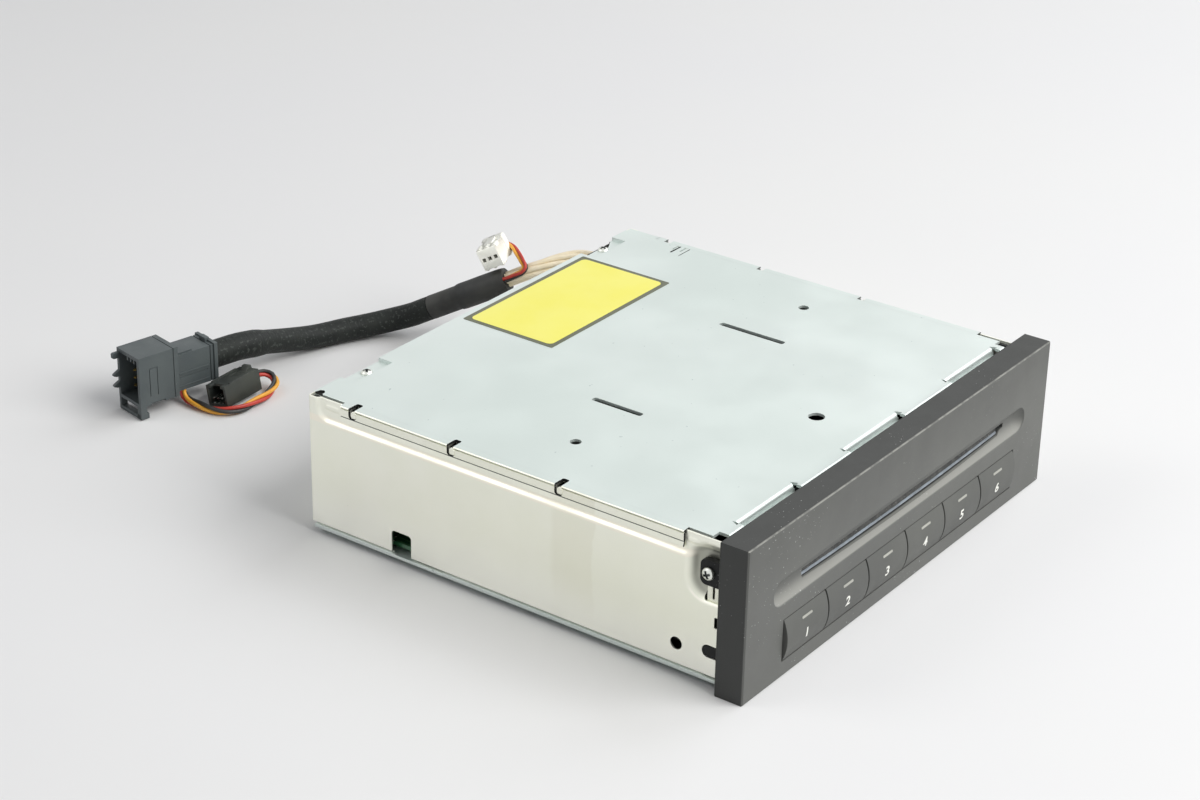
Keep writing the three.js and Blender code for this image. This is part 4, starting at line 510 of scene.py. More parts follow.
looks = {  # drift: colour and scale; specks: colour, scale and threshold; grain: scale, depth, strength
    "coverZinc": {"colour": (214, 224, 220), "drift": ((222, 230, 227), 9),
                  "specks": ((186, 197, 196), 420, 0.72), "rough": (0.36, 0.5), "grain": (1400, 0.03, 0.12),
                  "glossScale": 35, "metal": 0.55},
    "wallZinc": {"colour": (244, 245, 230), "drift": ((249, 249, 238), 14),
                 "specks": ((170, 168, 152), 300, 0.79), "rough": (0.34, 0.5), "grain": (1200, 0.03, 0.15),
                 "glossScale": 40, "metal": 0.88},
    "bezelPlastic": {"colour": (95, 96, 94), "drift": ((101, 102, 99), 12),
                     "specks": ((140, 140, 134), 700, 0.76), "rough": (0.44, 0.54),
                     "grain": (2600, 0.05, 0.3), "specular": 0.2},
    "keyPlastic": {"colour": (91, 92, 90), "drift": ((97, 98, 95), 20), "rough": (0.45, 0.6),
                   "grain": (2600, 0.04, 0.25), "specular": 0.15},
    "paintWhite": {"colour": (236, 236, 230), "drift": ((226, 227, 220), 300), "rough": (0.45, 0.6),
                   "grain": (3000, 0.01)},
    "lampGrey": {"colour": (168, 168, 160), "drift": ((156, 156, 149), 200), "rough": (0.4, 0.55),
                 "grain": (2600, 0.02)},
    "labelYellow": {"colour": (244, 237, 108), "drift": ((246, 240, 120), 40), "rough": (0.32, 0.45),
                    "grain": (500, 0.02, 0.1)},
    "labelBorder": {"colour": (92, 96, 76), "drift": ((100, 103, 84), 50), "rough": (0.35, 0.5),
                    "grain": (500, 0.02, 0.1)},
    # painted shade for cut faces and shallow cuts that stand for gaps
    "cutShade": {"colour": (26, 27, 26), "drift": ((38, 38, 36), 300), "rough": (0.7, 0.85),
                 "grain": (1800, 0.03), "specular": 0.2},
    # painted shade: a darker steel on the inner parts, in the flange's groove and crease and in the screws'
    # recesses
    "shadedSteel": {"colour": (104, 108, 108), "drift": ((116, 120, 119), 30), "rough": (0.4, 0.55),
                   "grain": (1200, 0.03), "metal": 0.6},
    "screwSteel": {"colour": (236, 238, 232), "drift": ((220, 222, 214), 300), "rough": (0.18, 0.32),
                   "grain": (1500, 0.02), "metal": 0.95},
    "motorSteel": {"colour": (190, 192, 192), "drift": ((172, 174, 175), 60), "rough": (0.28, 0.42),
                   "grain": (900, 0.02), "grainStretch": (1, 0.05, 1), "metal": 0.9},
    "darkMoulding": {"colour": (52, 53, 55), "drift": ((60, 61, 62), 40), "rough": (0.45, 0.6),
                     "grain": (1800, 0.04)},
    "paleMoulding": {"colour": (226, 226, 216), "drift": ((214, 214, 202), 60), "rough": (0.4, 0.55),
                     "grain": (1600, 0.03)},
    "flapFilm": {"colour": (40, 44, 46), "drift": ((52, 55, 57), 160), "rough": (0.5, 0.7),
                 "grain": (1600, 0.03)},
    "slotFelt": {"colour": (134, 144, 154), "drift": ((104, 112, 120), 260), "rough": (0.8, 0.95),
                 "grain": (5200, 0.12, 0.8), "sheen": 0.5},
    "slotBrush": {"colour": (50, 51, 51), "drift": ((74, 74, 72), 500),
                  "specks": ((160, 160, 152), 2600, 0.66), "rough": (0.8, 0.95), "grain": (4200, 0.25, 0.9),
                  "grainStretch": (1, 1, 0.25)},
    "boardGreen": {"colour": (36, 92, 58), "drift": ((44, 104, 66), 60), "rough": (0.3, 0.42),
                   "grain": (900, 0.02), "coat": 0.4},
    "blackRubber": {"colour": (34, 35, 36), "drift": ((44, 45, 46), 120), "rough": (0.7, 0.85),
                    "grain": (1400, 0.06)},
    "brass": {"colour": (196, 170, 104), "drift": ((178, 150, 88), 200), "rough": (0.25, 0.4),
              "grain": (1500, 0.02), "metal": 0.95},
    "plugPlastic": {"colour": (72, 79, 81), "drift": ((80, 87, 88), 60),
                    "specks": ((110, 116, 116), 500, 0.74), "rough": (0.42, 0.58),
                    "grain": (1500, 0.05, 0.4)},
    "smallPlugPlastic": {"colour": (48, 52, 50), "drift": ((62, 66, 60), 90), "rough": (0.35, 0.5),
                         "grain": (1500, 0.04)},
    "whitePlastic": {"colour": (247, 247, 240), "drift": ((242, 242, 233), 200), "rough": (0.4, 0.55),
                     "grain": (1500, 0.03)},
    "redLead": {"colour": (196, 62, 48), "drift": ((178, 52, 42), 200), "rough": (0.38, 0.5),
                "grain": (900, 0.02), "onUv": True},
    "orangeLead": {"colour": (240, 176, 62), "drift": ((228, 160, 50), 200), "rough": (0.38, 0.5),
                   "grain": (900, 0.02), "onUv": True},
    "blackLead": {"colour": (38, 38, 38), "drift": ((48, 48, 47), 200), "rough": (0.4, 0.55),
                  "grain": (900, 0.02), "onUv": True},
    "creamLead": {"colour": (251, 240, 216), "drift": ((246, 232, 202), 200), "rough": (0.4, 0.52),
                  "grain": (900, 0.02), "onUv": True},
    "sleeveTube": {"colour": (25, 28, 27), "drift": ((38, 41, 39), 90), "specks": ((58, 62, 59), 700, 0.58),
                   "rough": (0.5, 0.66), "grain": (420, 0.3, 0.8), "onUv": True, "specular": 0.2,
                   "grainStretch": (3.0, 0.35, 1)},
    "sleeveTape": {"colour": (32, 34, 34), "drift": ((56, 56, 53), 70), "rough": (0.5, 0.72),
                   "grain": (300, 0.25, 0.6), "onUv": True},
}
extras = {"wallZinc": wallStain, "boardGreen": boardTracks, "bezelPlastic": bezelWear}

print("stage and camera")
makeShot()
finishes = {name: finish(name, look, extras.get(name)) for name, look in looks.items()}
print("finishes:", len(finishes))


# Pieces made with Geometry Nodes

def nodeTree(name, inputs):  # inputs: name -> (socket type, default)
    tree = bpy.data.node_groups.new(name, "GeometryNodeTree")
    tree.interface.new_socket(name="Geometry", in_out="INPUT", socket_type="NodeSocketGeometry")
    for socketName, (kind, value) in inputs.items():
        socket = tree.interface.new_socket(name=socketName, in_out="INPUT", socket_type=kind)
        if value is not None:
            socket.default_value = value
    tree.interface.new_socket(name="Geometry", in_out="OUTPUT", socket_type="NodeSocketGeometry")
    return tree, tree.nodes.new("NodeGroupInput"), tree.nodes.new("NodeGroupOutput")


def finishTree(tree, source, output, parts):  # joins the parts, sets them at the points and paints them
    both = put(tree, "GeometryNodeJoinGeometry")
    for part in parts:
        tree.links.new(part, both.inputs[0])
    small = moved(tree, both.outputs[0], scale=(0.001, 0.001, 0.001))
    real = put(tree, "GeometryNodeRealizeInstances", None, Geometry=atPoints(tree, source, small))
    paint = put(tree, "GeometryNodeSetMaterial", None, Geometry=real.outputs[0],
                Material=source.outputs["Material"])
    tree.links.new(paint.outputs[0], output.inputs[0])


def grown(name, tree, places, values, look, smooth=32):  # runs the tree over points: place, turn, size
    values = {**values, "Material": finishes[look]}
    mesh = bpy.data.meshes.new(f"{name}Places")
    mesh.from_pydata([tuple(place) for place, turn, size in places], [], [])
    mesh.attributes.new("turn", "FLOAT_VECTOR", "POINT")
    mesh.attributes.new("size", "FLOAT", "POINT")
    for i, (place, turn, size) in enumerate(places):
        mesh.attributes["turn"].data[i].vector = turn
        mesh.attributes["size"].data[i].value = size
    holder = linkObject(f"{name}Places", mesh)
    step = holder.modifiers.new("nodes", "NODES")
    step.node_group = tree
    for item in tree.interface.items_tree:
        if item.item_type == "SOCKET" and item.in_out == "INPUT" and item.name in values:
            step[item.identifier] = values[item.name]
    settle(holder)
    whole = linkObject(name, holder.data.copy())
    bpy.data.objects.remove(holder)
    if not whole.data.materials:
        whole.data.materials.append(finishes[look])
    smoothByAngle(whole, smooth)
    return whole


def atPoints(tree, source, instance):
    turn = put(tree, "GeometryNodeInputNamedAttribute", {"data_type": "FLOAT_VECTOR"}, Name="turn")
    size = put(tree, "GeometryNodeInputNamedAttribute", {"data_type": "FLOAT"}, Name="size")
    made = put(tree, "GeometryNodeInstanceOnPoints", None, Points=source.outputs["Geometry"],
               Instance=instance, Rotation=turn.outputs[0], Scale=size.outputs[0])
    return made.outputs[0]


def combine(tree, *parts):
    made = put(tree, "ShaderNodeCombineXYZ")
    feed(tree, made.inputs, parts)
    return made.outputs[0]


def moved(tree, geometry, move=None, turn=None, scale=None):
    made = put(tree, "GeometryNodeTransform", None, Geometry=geometry)
    feed(tree, [made.inputs[key] for key in ("Translation", "Rotation", "Scale")], (move, turn, scale))
    return made.outputs[0]


def screwTree():  # a domed head with a cross recess, on a washer face and a shank
    tree, source, output = nodeTree("crossScrew", {
        "Head Radius": ("NodeSocketFloat", 2.2), "Head Height": ("NodeSocketFloat", 1.1),
        "Recess Length": ("NodeSocketFloat", 2.6), "Recess Width": ("NodeSocketFloat", 0.55),
        "Recess Depth": ("NodeSocketFloat", 1.0), "Shank Length": ("NodeSocketFloat", 4.0),
        "Material": ("NodeSocketMaterial", None),
    })
    take = source.outputs
    ball = put(tree, "GeometryNodeMeshUVSphere", None, Segments=48, Rings=24, Radius=1.0)
    dome = moved(tree, ball.outputs[0], scale=combine(tree, take["Head Radius"], take["Head Radius"],
                                                      take["Head Height"]))
    cuts = []
    bar = put(tree, "GeometryNodeMeshCube", None,
              Size=combine(tree, take["Recess Length"], take["Recess Width"], take["Recess Depth"]))
    for turn in (0.4, 0.4 + math.pi / 2):
        cuts.append(moved(tree, bar.outputs[0], move=combine(tree, 0.0, 0.0, take["Head Height"]),
                          turn=(0, 0, turn)))
    pit = put(tree, "GeometryNodeMeshCone", None, Vertices=24, Radius_Top=0.75, Radius_Bottom=0.2, Depth=0.9)
    cuts.append(moved(tree, pit.outputs[0], move=combine(tree, 0.0, 0.0, take["Head Height"]),
                      scale=(1, 1, 0.6)))
    cut = put(tree, "GeometryNodeMeshBoolean", {"operation": "DIFFERENCE", "solver": "EXACT"})
    tree.links.new(dome, cut.inputs[0])
    for item in cuts:
        tree.links.new(item, cut.inputs[1])
    rim = put(tree, "GeometryNodeMeshCylinder", None, Vertices=48, Radius=take["Head Radius"], Depth=0.4)
    shank = put(tree, "GeometryNodeMeshCylinder", None, Vertices=24, Radius=1.1, Depth=take["Shank Length"])
    under = combine(tree, 0.0, 0.0, times(tree, take["Shank Length"], -0.5))
    finishTree(tree, source, output, (moved(tree, shank.outputs[0], move=under),
                                      moved(tree, rim.outputs[0], move=(0, 0, -0.1)), cut.outputs[0]))
    return tree


def pinTree():  # a square pin with a chamfered tip, standing along z
    tree, source, output = nodeTree("squarePin", {
        "Width": ("NodeSocketFloat", 0.64), "Length": ("NodeSocketFloat", 8.0),
        "Tip": ("NodeSocketFloat", 0.5),
        "Material": ("NodeSocketMaterial", None),
    })
    take = source.outputs
    body = put(tree, "GeometryNodeMeshCube", None,
               Size=combine(tree, take["Width"], take["Width"], take["Length"]))
    middle = combine(tree, 0.0, 0.0, times(tree, take["Length"], 0.5))
    tip = put(tree, "GeometryNodeMeshCone", None, Vertices=4, Radius_Top=0.15, Depth=take["Tip"],
              Radius_Bottom=times(tree, take["Width"], 0.707))
    end = combine(tree, 0.0, 0.0, take["Length"])
    finishTree(tree, source, output, (moved(tree, body.outputs[0], move=middle),
                                      moved(tree, tip.outputs[0], move=end, turn=(0, 0, math.pi / 4))))
    return tree


screwHeads = {"Head Radius": 2.05, "Head Height": 1.15, "Recess Length": 2.6, "Recess Width": 0.8,
              "Recess Depth": 2.0, "Shank Length": 4.2}
screwPlaces = [  # place, turn, node
    ((-89.35, 15.6, 38.7), (0, -math.pi / 2, 0), "bezel_screw_left"),
    ((89.35, 15.6, 38.7), (0, math.pi / 2, 0), "bezel_screw_right"),
    ((-63.5, 169.0, 48.85), (0, 0, 0.3), "cover_screw_left"),
    ((68.0, 169.0, 48.85), (0, 0, 0.9), "cover_screw_right"),
]
pointedFinger = [(0.2, 0), (-0.5, 0.1), (-1, 0.7), (-0.92, 1.3), (0.2, 2.7)]  # a negative reach is a share
bluntFinger = [(0.2, 0), (-0.7, 0), (-1, 0.4), (-1, 2.0), (-0.8, 2.3), (0.2, 2.3)]
plug = {"mouth": (-64.9, 279.2), "turnDegrees": -11.8, "long": 16.6, "half": 6.9, "low": 5.0, "high": 24.2,
        "wall": 1.3, "deep": 13.0, "fingerReach": 2.6, "ribs": (-3.9, -1.9, 0.1), "coverEnd": 34.0,
        "coverHalf": 5.5, "coverLow": 6.0, "coverHigh": 20.0, "edge": 0.22, "seam": (14.4, 14.75),
        "footNotch": (4.5, 10.5), "sideLines": ((4.2, 4.5, 8.4, 19.2), (7.4, 7.7, 8.4, 19.2),
                                                (4.2, 7.7, 19.0, 19.3)), "backGroove": (30.9, 31.3),
        "sideGroove": (17.6, 29.8, 11.0, 11.35), "ridgeAlong": (17.4, 30.4),
        "ridges": ((12.3, 13.0, 0.3, 0.12), (7.4, 7.9, 0.25, 0.1)),
        "fingers": ((0.2, pointedFinger), (0.42, pointedFinger), (0.8, bluntFinger)),
        "pinRows": (-3.2, 0.0, 3.2), "pinHeights": (9.2, 12.2, 15.2, 18.2),
        "pin": {"Width": 0.8, "Length": 8.5, "Tip": 0.6}}


def posed(piece, place, turn):  # a piece built in its own axes, set where it lies
    piece.data.transform(Matrix.Translation(spot(*place)) @ turn
                         @ Matrix.Translation((0, mm(depthMiddle), 0)))
    return piece


def rounded(piece, width=None, segments=2):
    return bevelEdges(piece, width or plug["edge"], segments)


def cutBoxes(piece, *boxes):
    return carve(piece, [boxPiece("cut", limits) for limits in boxes])


def blocks(look, *rows):  # boxes with rounded edges, from rows of limits, edge and segments
    return [rounded(boxPiece("block", limits, look), *edge) for limits, *edge in rows]


def makePlug():
    place, turn = (*plug["mouth"], 0), Matrix.Rotation(math.radians(plug["turnDegrees"]), 4, "Z")
    look, half, low, high, thick = (finishes["plugPlastic"], plug["half"], plug["low"], plug["high"],
                                    plug["wall"])
    shell = boxPiece("shell", (0, plug["long"], -half, half, low, high), look)
    cutBoxes(shell, (-1, plug["deep"], -half + thick, half - thick, low + thick, high - thick),
             (*plug["seam"], -half - 1, -half + 0.3, low - 1, high + 1),  # at the side, then on top
             (*plug["seam"], -half - 1, half + 1, high - 0.25, high + 1),
             *[(u0, u1, -half - 1, -half + 0.25, z0, z1) for u0, u1, z0, z1 in plug["sideLines"]],
             (*plug["footNotch"], -half - 1, -half + 0.9, low - 1, low + 0.8))
    parts = [rounded(shell)]
    parts += blocks(look, *[((0.25, 9, v, v + 0.8, high - thick - 1.7, high - thick + 0.1), 0.1)
                            for v in plug["ribs"]])  # keying ribs under the top wall
    reach = plug["fingerReach"]
    for share, outline in plug["fingers"]:
        z = low + share * (high - low)
        outline = [(reach * along if along < 0 else along, z + up) for along, up in outline]
        parts.append(rounded(prism("finger", outline, "y", half - thick, half, look), 0.12))
    latch = boxPiece("latch", (-0.05, 2.6, -half, half, 0.3, low + 0.05), look)
    cutBoxes(latch, (-1, 4, -half + 2.4, half - 1.2, 1.7, 6))
    parts.append(rounded(latch))
    parts += blocks(look, ((-0.05, 3.4, -half - 0.05, -half + 2.6, 0.3, 2.4), 0.15),
                    ((2.5, 12, -1.6, 1.6, low - 1.6, low + 0.05), 0.15))
    housing = posed(joinPieces("plugHousing", parts), place, turn)
    dress(housing, "casing", "plug_plastic", "plug_housing")

    a, b = plug["coverLow"], plug["coverHigh"]
    start, end, wide = plug["long"] + 0.1, plug["coverEnd"], plug["coverHalf"]
    body = boxPiece("body", (start, end, -wide, wide, a, b), look)
    cutBoxes(body, (*plug["backGroove"], -wide - 1, -wide + 0.35, a - 1, b + 1),
             (*plug["backGroove"], -wide - 1, wide + 1, b - 0.35, b + 1),
             (*plug["sideGroove"][:2], -wide - 1, -wide + 0.25, *plug["sideGroove"][2:]))
    parts = [rounded(body)]
    parts += blocks(look, *[((*plug["ridgeAlong"], -wide - out, wide + out, z0, z1), edge)
                            for z0, z1, out, edge in plug["ridges"]],
                    ((start, 24.0, -wide + 0.9, wide - 0.9, b - 0.1, b + 0.55), 0.15),
                    ((32.5, end, -wide - 0.6, wide + 0.6, a - 0.6, b + 0.6), 0.15),
                    ((31.4, 33.4, -1.9, 1.9, b - 0.1, b + 1.5), 0.3))
    cover = dress(posed(joinPieces("plugCover", parts), place, turn), "casing", "plug_plastic", "plug_cover")

    pins = []
    for v in plug["pinRows"]:
        for z in plug["pinHeights"]:
            at = Matrix.Translation(spot(*place)) @ turn @ Vector((mm(plug["deep"] + 0.2), mm(v), mm(z)))
            pins.append((at, (0, -math.pi / 2, turn.to_euler().z), 1.0))
    pinPiece = grown("plugPins", pinTree(), pins, plug["pin"], "brass", 20)
    return [housing, cover, dress(pinPiece, "casing", "brass_part")]


smallPlug = {"corner": (-42.5, 253.0, 2.0), "turnDegrees": 3.0, "leanDegrees": -10.2, "long": 19.0,
             "wide": 9.0, "high": 8.0, "wall": 1.0, "deep": 8.0, "pitch": 2.0,
             "tooth": {"Width": 0.55, "Length": 5.4, "Tip": 0.4}}
whitePlug = {"centre": (61.4, 214.1, 38.3), "along": (-0.362, 0.815, -0.453), "across": (0.914, 0.406, 0.0),
             "long": 12.8, "wide": 9.2, "pitch": 2.4}


def makeSmallPlug():
    look, size = finishes["smallPlugPlastic"], smallPlug
    turn = (Matrix.Rotation(math.radians(size["turnDegrees"]), 4, "Z")
            @ Matrix.Rotation(math.radians(size["leanDegrees"]), 4, "X"))
    thick, wide, high, pitch = size["wall"], size["wide"], size["high"], size["pitch"]
    shell = boxPiece("shell", (0, size["long"], 0, wide, 0, high), look)
    cutBoxes(shell, (-1, size["deep"], thick, wide - thick, thick, high - thick),
             (-1, 2.2, thick + 1.2, wide - thick - 1.2, high - thick - 0.2, high + 1),  # the lip's gap
             (10.5, 14.2, 2.6, wide - 2.6, high - 0.9, high + 1),
             (17.2, 20, 1.4, wide - 1.4, 1.2, high - 2.2))
    latch = prism("latch", [(10.8, high - 0.7), (15.6, high + 0.1), (17.2, high + 1.5), (18.4, high + 1.5),
                            (18.9, high - 0.2), (10.8, high - 0.9)], "y", 2.9, wide - 2.9, look)
    parts = [rounded(shell, 0.18), rounded(latch, 0.12)]
    parts += blocks(look, *[((3.0, 16.5, v, v + 0.7, high - 0.1, high + 0.35), 0.1)
                            for v in (0.05, wide - 0.75)],
                    *[((5.6, 8.2, 2.0 + pitch * i, 2.9 + pitch * i, 0.9, high - 1.9), 0.08)
                      for i in range(3)])
    small = dress(posed(joinPieces("smallPlug", parts), size["corner"], turn), "casing", "plug_plastic",
                  "small_plug")
    teeth = []
    for i in range(3):
        for z in (1.3, 3.2):
            at = (Matrix.Translation(spot(*size["corner"])) @ turn
                  @ Vector((mm(6.0), mm(2.45 + pitch * i), mm(z))))
            teeth.append((at, (turn @ Matrix.Rotation(-math.pi / 2, 4, "Y")).to_euler(), 1.0))
    toothPiece = grown("smallPlugTeeth", pinTree(), teeth, size["tooth"], "screwSteel", 20)
    return [small, dress(toothPiece, "casing", "steel_part")]


def makeWhitePlug():
    size, look = whitePlug, finishes["whitePlastic"]
    along, across = Vector(size["along"]).normalized(), Vector(size["across"]).normalized()
    turn = Matrix((across, along, across.cross(along).normalized())).transposed().to_4x4()
    long, wide, pitch = size["long"] / 2, size["wide"] / 2, size["pitch"]
    body = boxPiece("body", (-long, long - 1.2, -wide + 0.7, wide - 0.7, -wide + 0.7, wide - 0.7), look)
    cutBoxes(body, *[(-long - 1, -long + 5, i * pitch - 0.75, i * pitch + 0.75, -0.75, 0.75)
                     for i in (-1, 0, 1)],
             *[(-1.5, 1.6, i * pitch - 0.6, i * pitch + 0.6, wide - 1.3, wide + 1) for i in (-1, 0, 1)])
    parts = [rounded(body, 0.9, 4)]
    for v in (-3.1, 0.0, 3.1):  # round ribs along the two broad sides
        for z in (-wide + 1.15, wide - 1.15):
            parts.append(rounded(prism("rib", circleOutline(v, z, 1.15, 20), "x", -long + 0.8, -1.8, look),
                                 0.3))
    parts += blocks(look, ((long - 3.4, long, -wide, wide, -wide, wide), 1.0, 4),
                    ((-2.8, long - 0.8, -1.7, 1.7, wide - 0.8, wide), 0.3))
    return dress(posed(joinPieces("whitePlug", parts), size["centre"], turn), "casing", "white_plastic",
                 "white_plug")


solder = {"x": (-84.9, -83.2), "y": (130.6, 132.0, 133.3, 134.7, 136.0, 137.2), "z": 9.0,
          "pin": {"Width": 0.6, "Length": 0.5, "Tip": 0.5}}
recessShade = {"reach": 1.35, "low": 0.1, "under": 0.08}  # which faces of a head lie in its recess and take painted shade


def makeScrews():
    spots = [(x, y) for x in solder["x"] for y in solder["y"]]
    points = [(spot(x, y, solder["z"]), (0, 0, 0.3 * i), 0.8 + 0.25 * (i % 3))
              for i, (x, y) in enumerate(spots)]
    dress(grown("solderPoints", pinTree(), points, solder["pin"], "screwSteel", 20), "casing", "steel_part")
    places = [(spot(*place), turn, 1.0) for place, turn, node in screwPlaces]
    heads = grown("crossScrews", screwTree(), places, screwHeads, "screwSteel")
    heads.data.materials.append(finishes["shadedSteel"])
    shaded = len(heads.data.materials) - 1
    frames = [(Matrix.Translation(place) @ Euler(turn).to_matrix().to_4x4()).inverted()
              for place, turn, _ in places]
    for face in heads.data.polygons:  # painted shade: the recess of a screw takes the darker steel
        x, y, z = min((inside @ face.center for inside in frames), key=lambda at: at.length) * 1000
        reach = math.hypot(x, y)
        dome = screwHeads["Head Height"] * math.sqrt(max(1 - (reach / screwHeads["Head Radius"]) ** 2, 0))
        if reach < recessShade["reach"] and recessShade["low"] < z < dome - recessShade["under"]:
            face.material_index = shaded
    dress(heads, "casing", "steel_part", *[node for place, turn, node in screwPlaces])
    print("screws")


makeScrews()


# Harness

leadRoute = [
    (0.08, 0.0881, 0.038), (0.08, 0.0914, 0.038), (0.08, 0.0948, 0.038), (0.0779, 0.1009, 0.0377),
    (0.073, 0.1059, 0.0366), (0.0675, 0.1107, 0.0347), (0.0635, 0.1158, 0.0321), (0.0623, 0.1185, 0.0306),
    (0.0611, 0.12106, 0.02914),
]
collarRoute = [
    (0.061, 0.1213, 0.029), (0.059, 0.1258, 0.0265), (0.0569, 0.1304, 0.024), (0.0555, 0.135, 0.0214),
    (0.0542, 0.1398, 0.0188), (0.0526, 0.14455, 0.01615), (0.051, 0.1493, 0.0135),
]
sleeveRoute = [
    (0.0509, 0.14957, 0.01335), (0.04962, 0.15333, 0.01125), (0.0483, 0.1571, 0.00915),
    (0.0446, 0.163, 0.0069), (0.0382, 0.1684, 0.0055), (0.029, 0.1738, 0.005), (0.017, 0.1784, 0.0052),
    (0.005, 0.1808, 0.0075), (-0.009, 0.1819, 0.0112), (-0.01955, 0.18345, 0.0129), (-0.0254, 0.18467, 0.013),
    (-0.0313, 0.1859, 0.013),
]
smallLeadRoute = [
    (-0.046, 0.1855, 0.0057), (-0.046, 0.1854, 0.0042), (-0.0462, 0.184, 0.0026),
    (-0.0465, 0.1814, 0.0019), (-0.0468, 0.1768, 0.0019), (-0.0466, 0.1708, 0.0019),
    (-0.0448, 0.1661, 0.0019), (-0.04, 0.1634, 0.0019), (-0.032, 0.163, 0.0019),
    (-0.0245, 0.1637, 0.0021), (-0.019, 0.1656, 0.0032), (-0.0168, 0.1686, 0.0044),
    (-0.0178, 0.1712, 0.0052), (-0.0203, 0.1722, 0.0055), (-0.0229, 0.1721, 0.0055),
]
whiteLeadRoute = [
    (0.067, 0.1303, 0.0383), (0.0688, 0.1311, 0.0384), (0.0696, 0.129, 0.0388), (0.0687, 0.1253, 0.0388),
    (0.0658, 0.1205, 0.0384), (0.0630, 0.1160, 0.0375), (0.0619, 0.1137, 0.0358), (0.0607, 0.1142, 0.0342),
    (0.0594, 0.1167, 0.0325), (0.0583, 0.1189, 0.0311), (0.0577, 0.1217, 0.0293), (0.0574, 0.1239, 0.028),
]


def smoothRoute(points, count):  # a centripetal curve through the points, cut into even steps
    points = [Vector(point) for point in points]
    ends = [points[0] * 2 - points[1], *points, points[-1] * 2 - points[-2]]
    fine = []
    for p0, p1, p2, p3 in zip(ends, ends[1:], ends[2:], ends[3:]):
        t0 = 0.0
        t1 = t0 + (p1 - p0).length ** 0.5
        t2 = t1 + (p2 - p1).length ** 0.5
        t3 = t2 + (p3 - p2).length ** 0.5
        for step in range(24):
            t = t1 + (t2 - t1) * step / 24
            a1 = p0 * ((t1 - t) / (t1 - t0)) + p1 * ((t - t0) / (t1 - t0))
            a2 = p1 * ((t2 - t) / (t2 - t1)) + p2 * ((t - t1) / (t2 - t1))
            a3 = p2 * ((t3 - t) / (t3 - t2)) + p3 * ((t - t2) / (t3 - t2))
            b1 = a1 * ((t2 - t) / (t2 - t0)) + a2 * ((t - t0) / (t2 - t0))
            b2 = a2 * ((t3 - t) / (t3 - t1)) + a3 * ((t - t1) / (t3 - t1))
            fine.append(b1 * ((t2 - t) / (t2 - t1)) + b2 * ((t - t1) / (t2 - t1)))
    fine.append(points[-1])
    reach = [0.0]
    for a, b in zip(fine, fine[1:]):
        reach.append(reach[-1] + (b - a).length)
    places, index = [], 0
    for step in range(count):
        goal = reach[-1] * step / (count - 1)
        while index < len(reach) - 2 and reach[index + 1] < goal:
            index += 1
        span = reach[index + 1] - reach[index]
        places.append(fine[index].lerp(fine[index + 1], (goal - reach[index]) / span if span else 0))
    return places, reach[-1]


def routeFrames(route):  # a side and an up vector at each point, carried along without twist
    frames = []
    side = None
    for i in range(len(route)):
        ahead = (route[min(i + 1, len(route) - 1)] - route[max(i - 1, 0)]).normalized()
        if side is None:
            side = ahead.cross(Vector((0, 0, 1)) if abs(ahead.z) < 0.9 else Vector((1, 0, 0))).normalized()
        side = (side - ahead * side.dot(ahead)).normalized()
        frames.append((side, ahead.cross(side).normalized()))
    return frames


def strandMesh(name, route, length, strands, sides=12):
    # each strand: distance, angle in turns, radius function of the share, twist in turns, material
    mesh = bpy.data.meshes.new(name)
    points, faces, uvs, indices, materials = [], [], [], [], []
    frames = routeFrames(route)
    last = len(route) - 1
    for away, angle, radiusOf, twist, material in strands:
        if material not in materials:
            materials.append(material)
        base = len(points)
        for i, point in enumerate(route):
            share = i / last
            side, up = frames[i]
            turn = math.tau * (angle + twist * share)
            middle = point + (side * math.cos(turn) + up * math.sin(turn)) * away
            for k in range(sides):
                around = math.tau * k / sides
                points.append(middle + (side * math.cos(around) + up * math.sin(around)) * radiusOf(share))
        faces += ringFaces(last + 1, sides, base)
        around = math.tau * radiusOf(0.5)
        for i in range(last):
            for k in range(sides):
                v0, v1 = k / sides * around, (k + 1) / sides * around
                u0, u1 = i / last * length, (i + 1) / last * length
                uvs += [(u0, v0), (u0, v1), (u1, v1), (u1, v0)]
        first, end = ([base + ring * sides + k for k in range(sides)] for ring in (0, last))
        faces += [tuple(reversed(first)), tuple(end)]
        uvs += [(0.0, 0.0)] * sides + [(length, 0.0)] * sides
        indices += [materials.index(material)] * (last * sides + 2)
    mesh.from_pydata([tuple(point) for point in points], [], faces)
    for material in materials:
        mesh.materials.append(material)
    mesh.polygons.foreach_set("material_index", indices)
    layer = mesh.uv_layers.new(name="along")
    for loop, uv in zip(layer.data, uvs):
        loop.uv = uv
    made = linkObject(name, mesh)
    shape = bmesh.new()
    shape.from_mesh(mesh)
    bmesh.ops.recalc_face_normals(shape, faces=shape.faces)
    shape.to_mesh(mesh)
    shape.free()
    smoothByAngle(made, 60)
    return made


def steady(radius):
    return lambda share: radius


leads = {"radius": 0.00098, "ring": 0.00198, "points": 26, "twist": 0.35, "colours": ("creamLead",) * 6}
trio = {"radius": 0.00074, "ring": 0.00085, "points": 40, "twist": 1.6,
        "colours": ("orangeLead", "redLead", "blackLead")}
thinTrio = {"radius": 0.0006, "ring": 0.00068, "points": 40, "twist": 0.6,
            "colours": ("blackLead", "redLead", "orangeLead")}
sleeve = {"radius": 0.0045, "otherRadius": 0.0051, "stepFrom": 0.765, "stepTo": 0.772, "points": 40,
          "sides": 28}
collar = {"radius": 0.0050, "otherRadius": 0.0046, "stepFrom": 0.60, "stepTo": 0.63, "points": 34,
          "sides": 28}


def steppedRadius(size, share):
    step = min(max((share - size["stepFrom"]) / (size["stepTo"] - size["stepFrom"]), 0), 1)
    return size["radius"] + (size["otherRadius"] - size["radius"]) * step


def sleeveRadius(share):
    return steppedRadius(sleeve, share)


def collarRadius(share):  # slimmer at its very start
    return steppedRadius(collar, share) * (1 - 0.08 * math.exp(-share / 0.035))


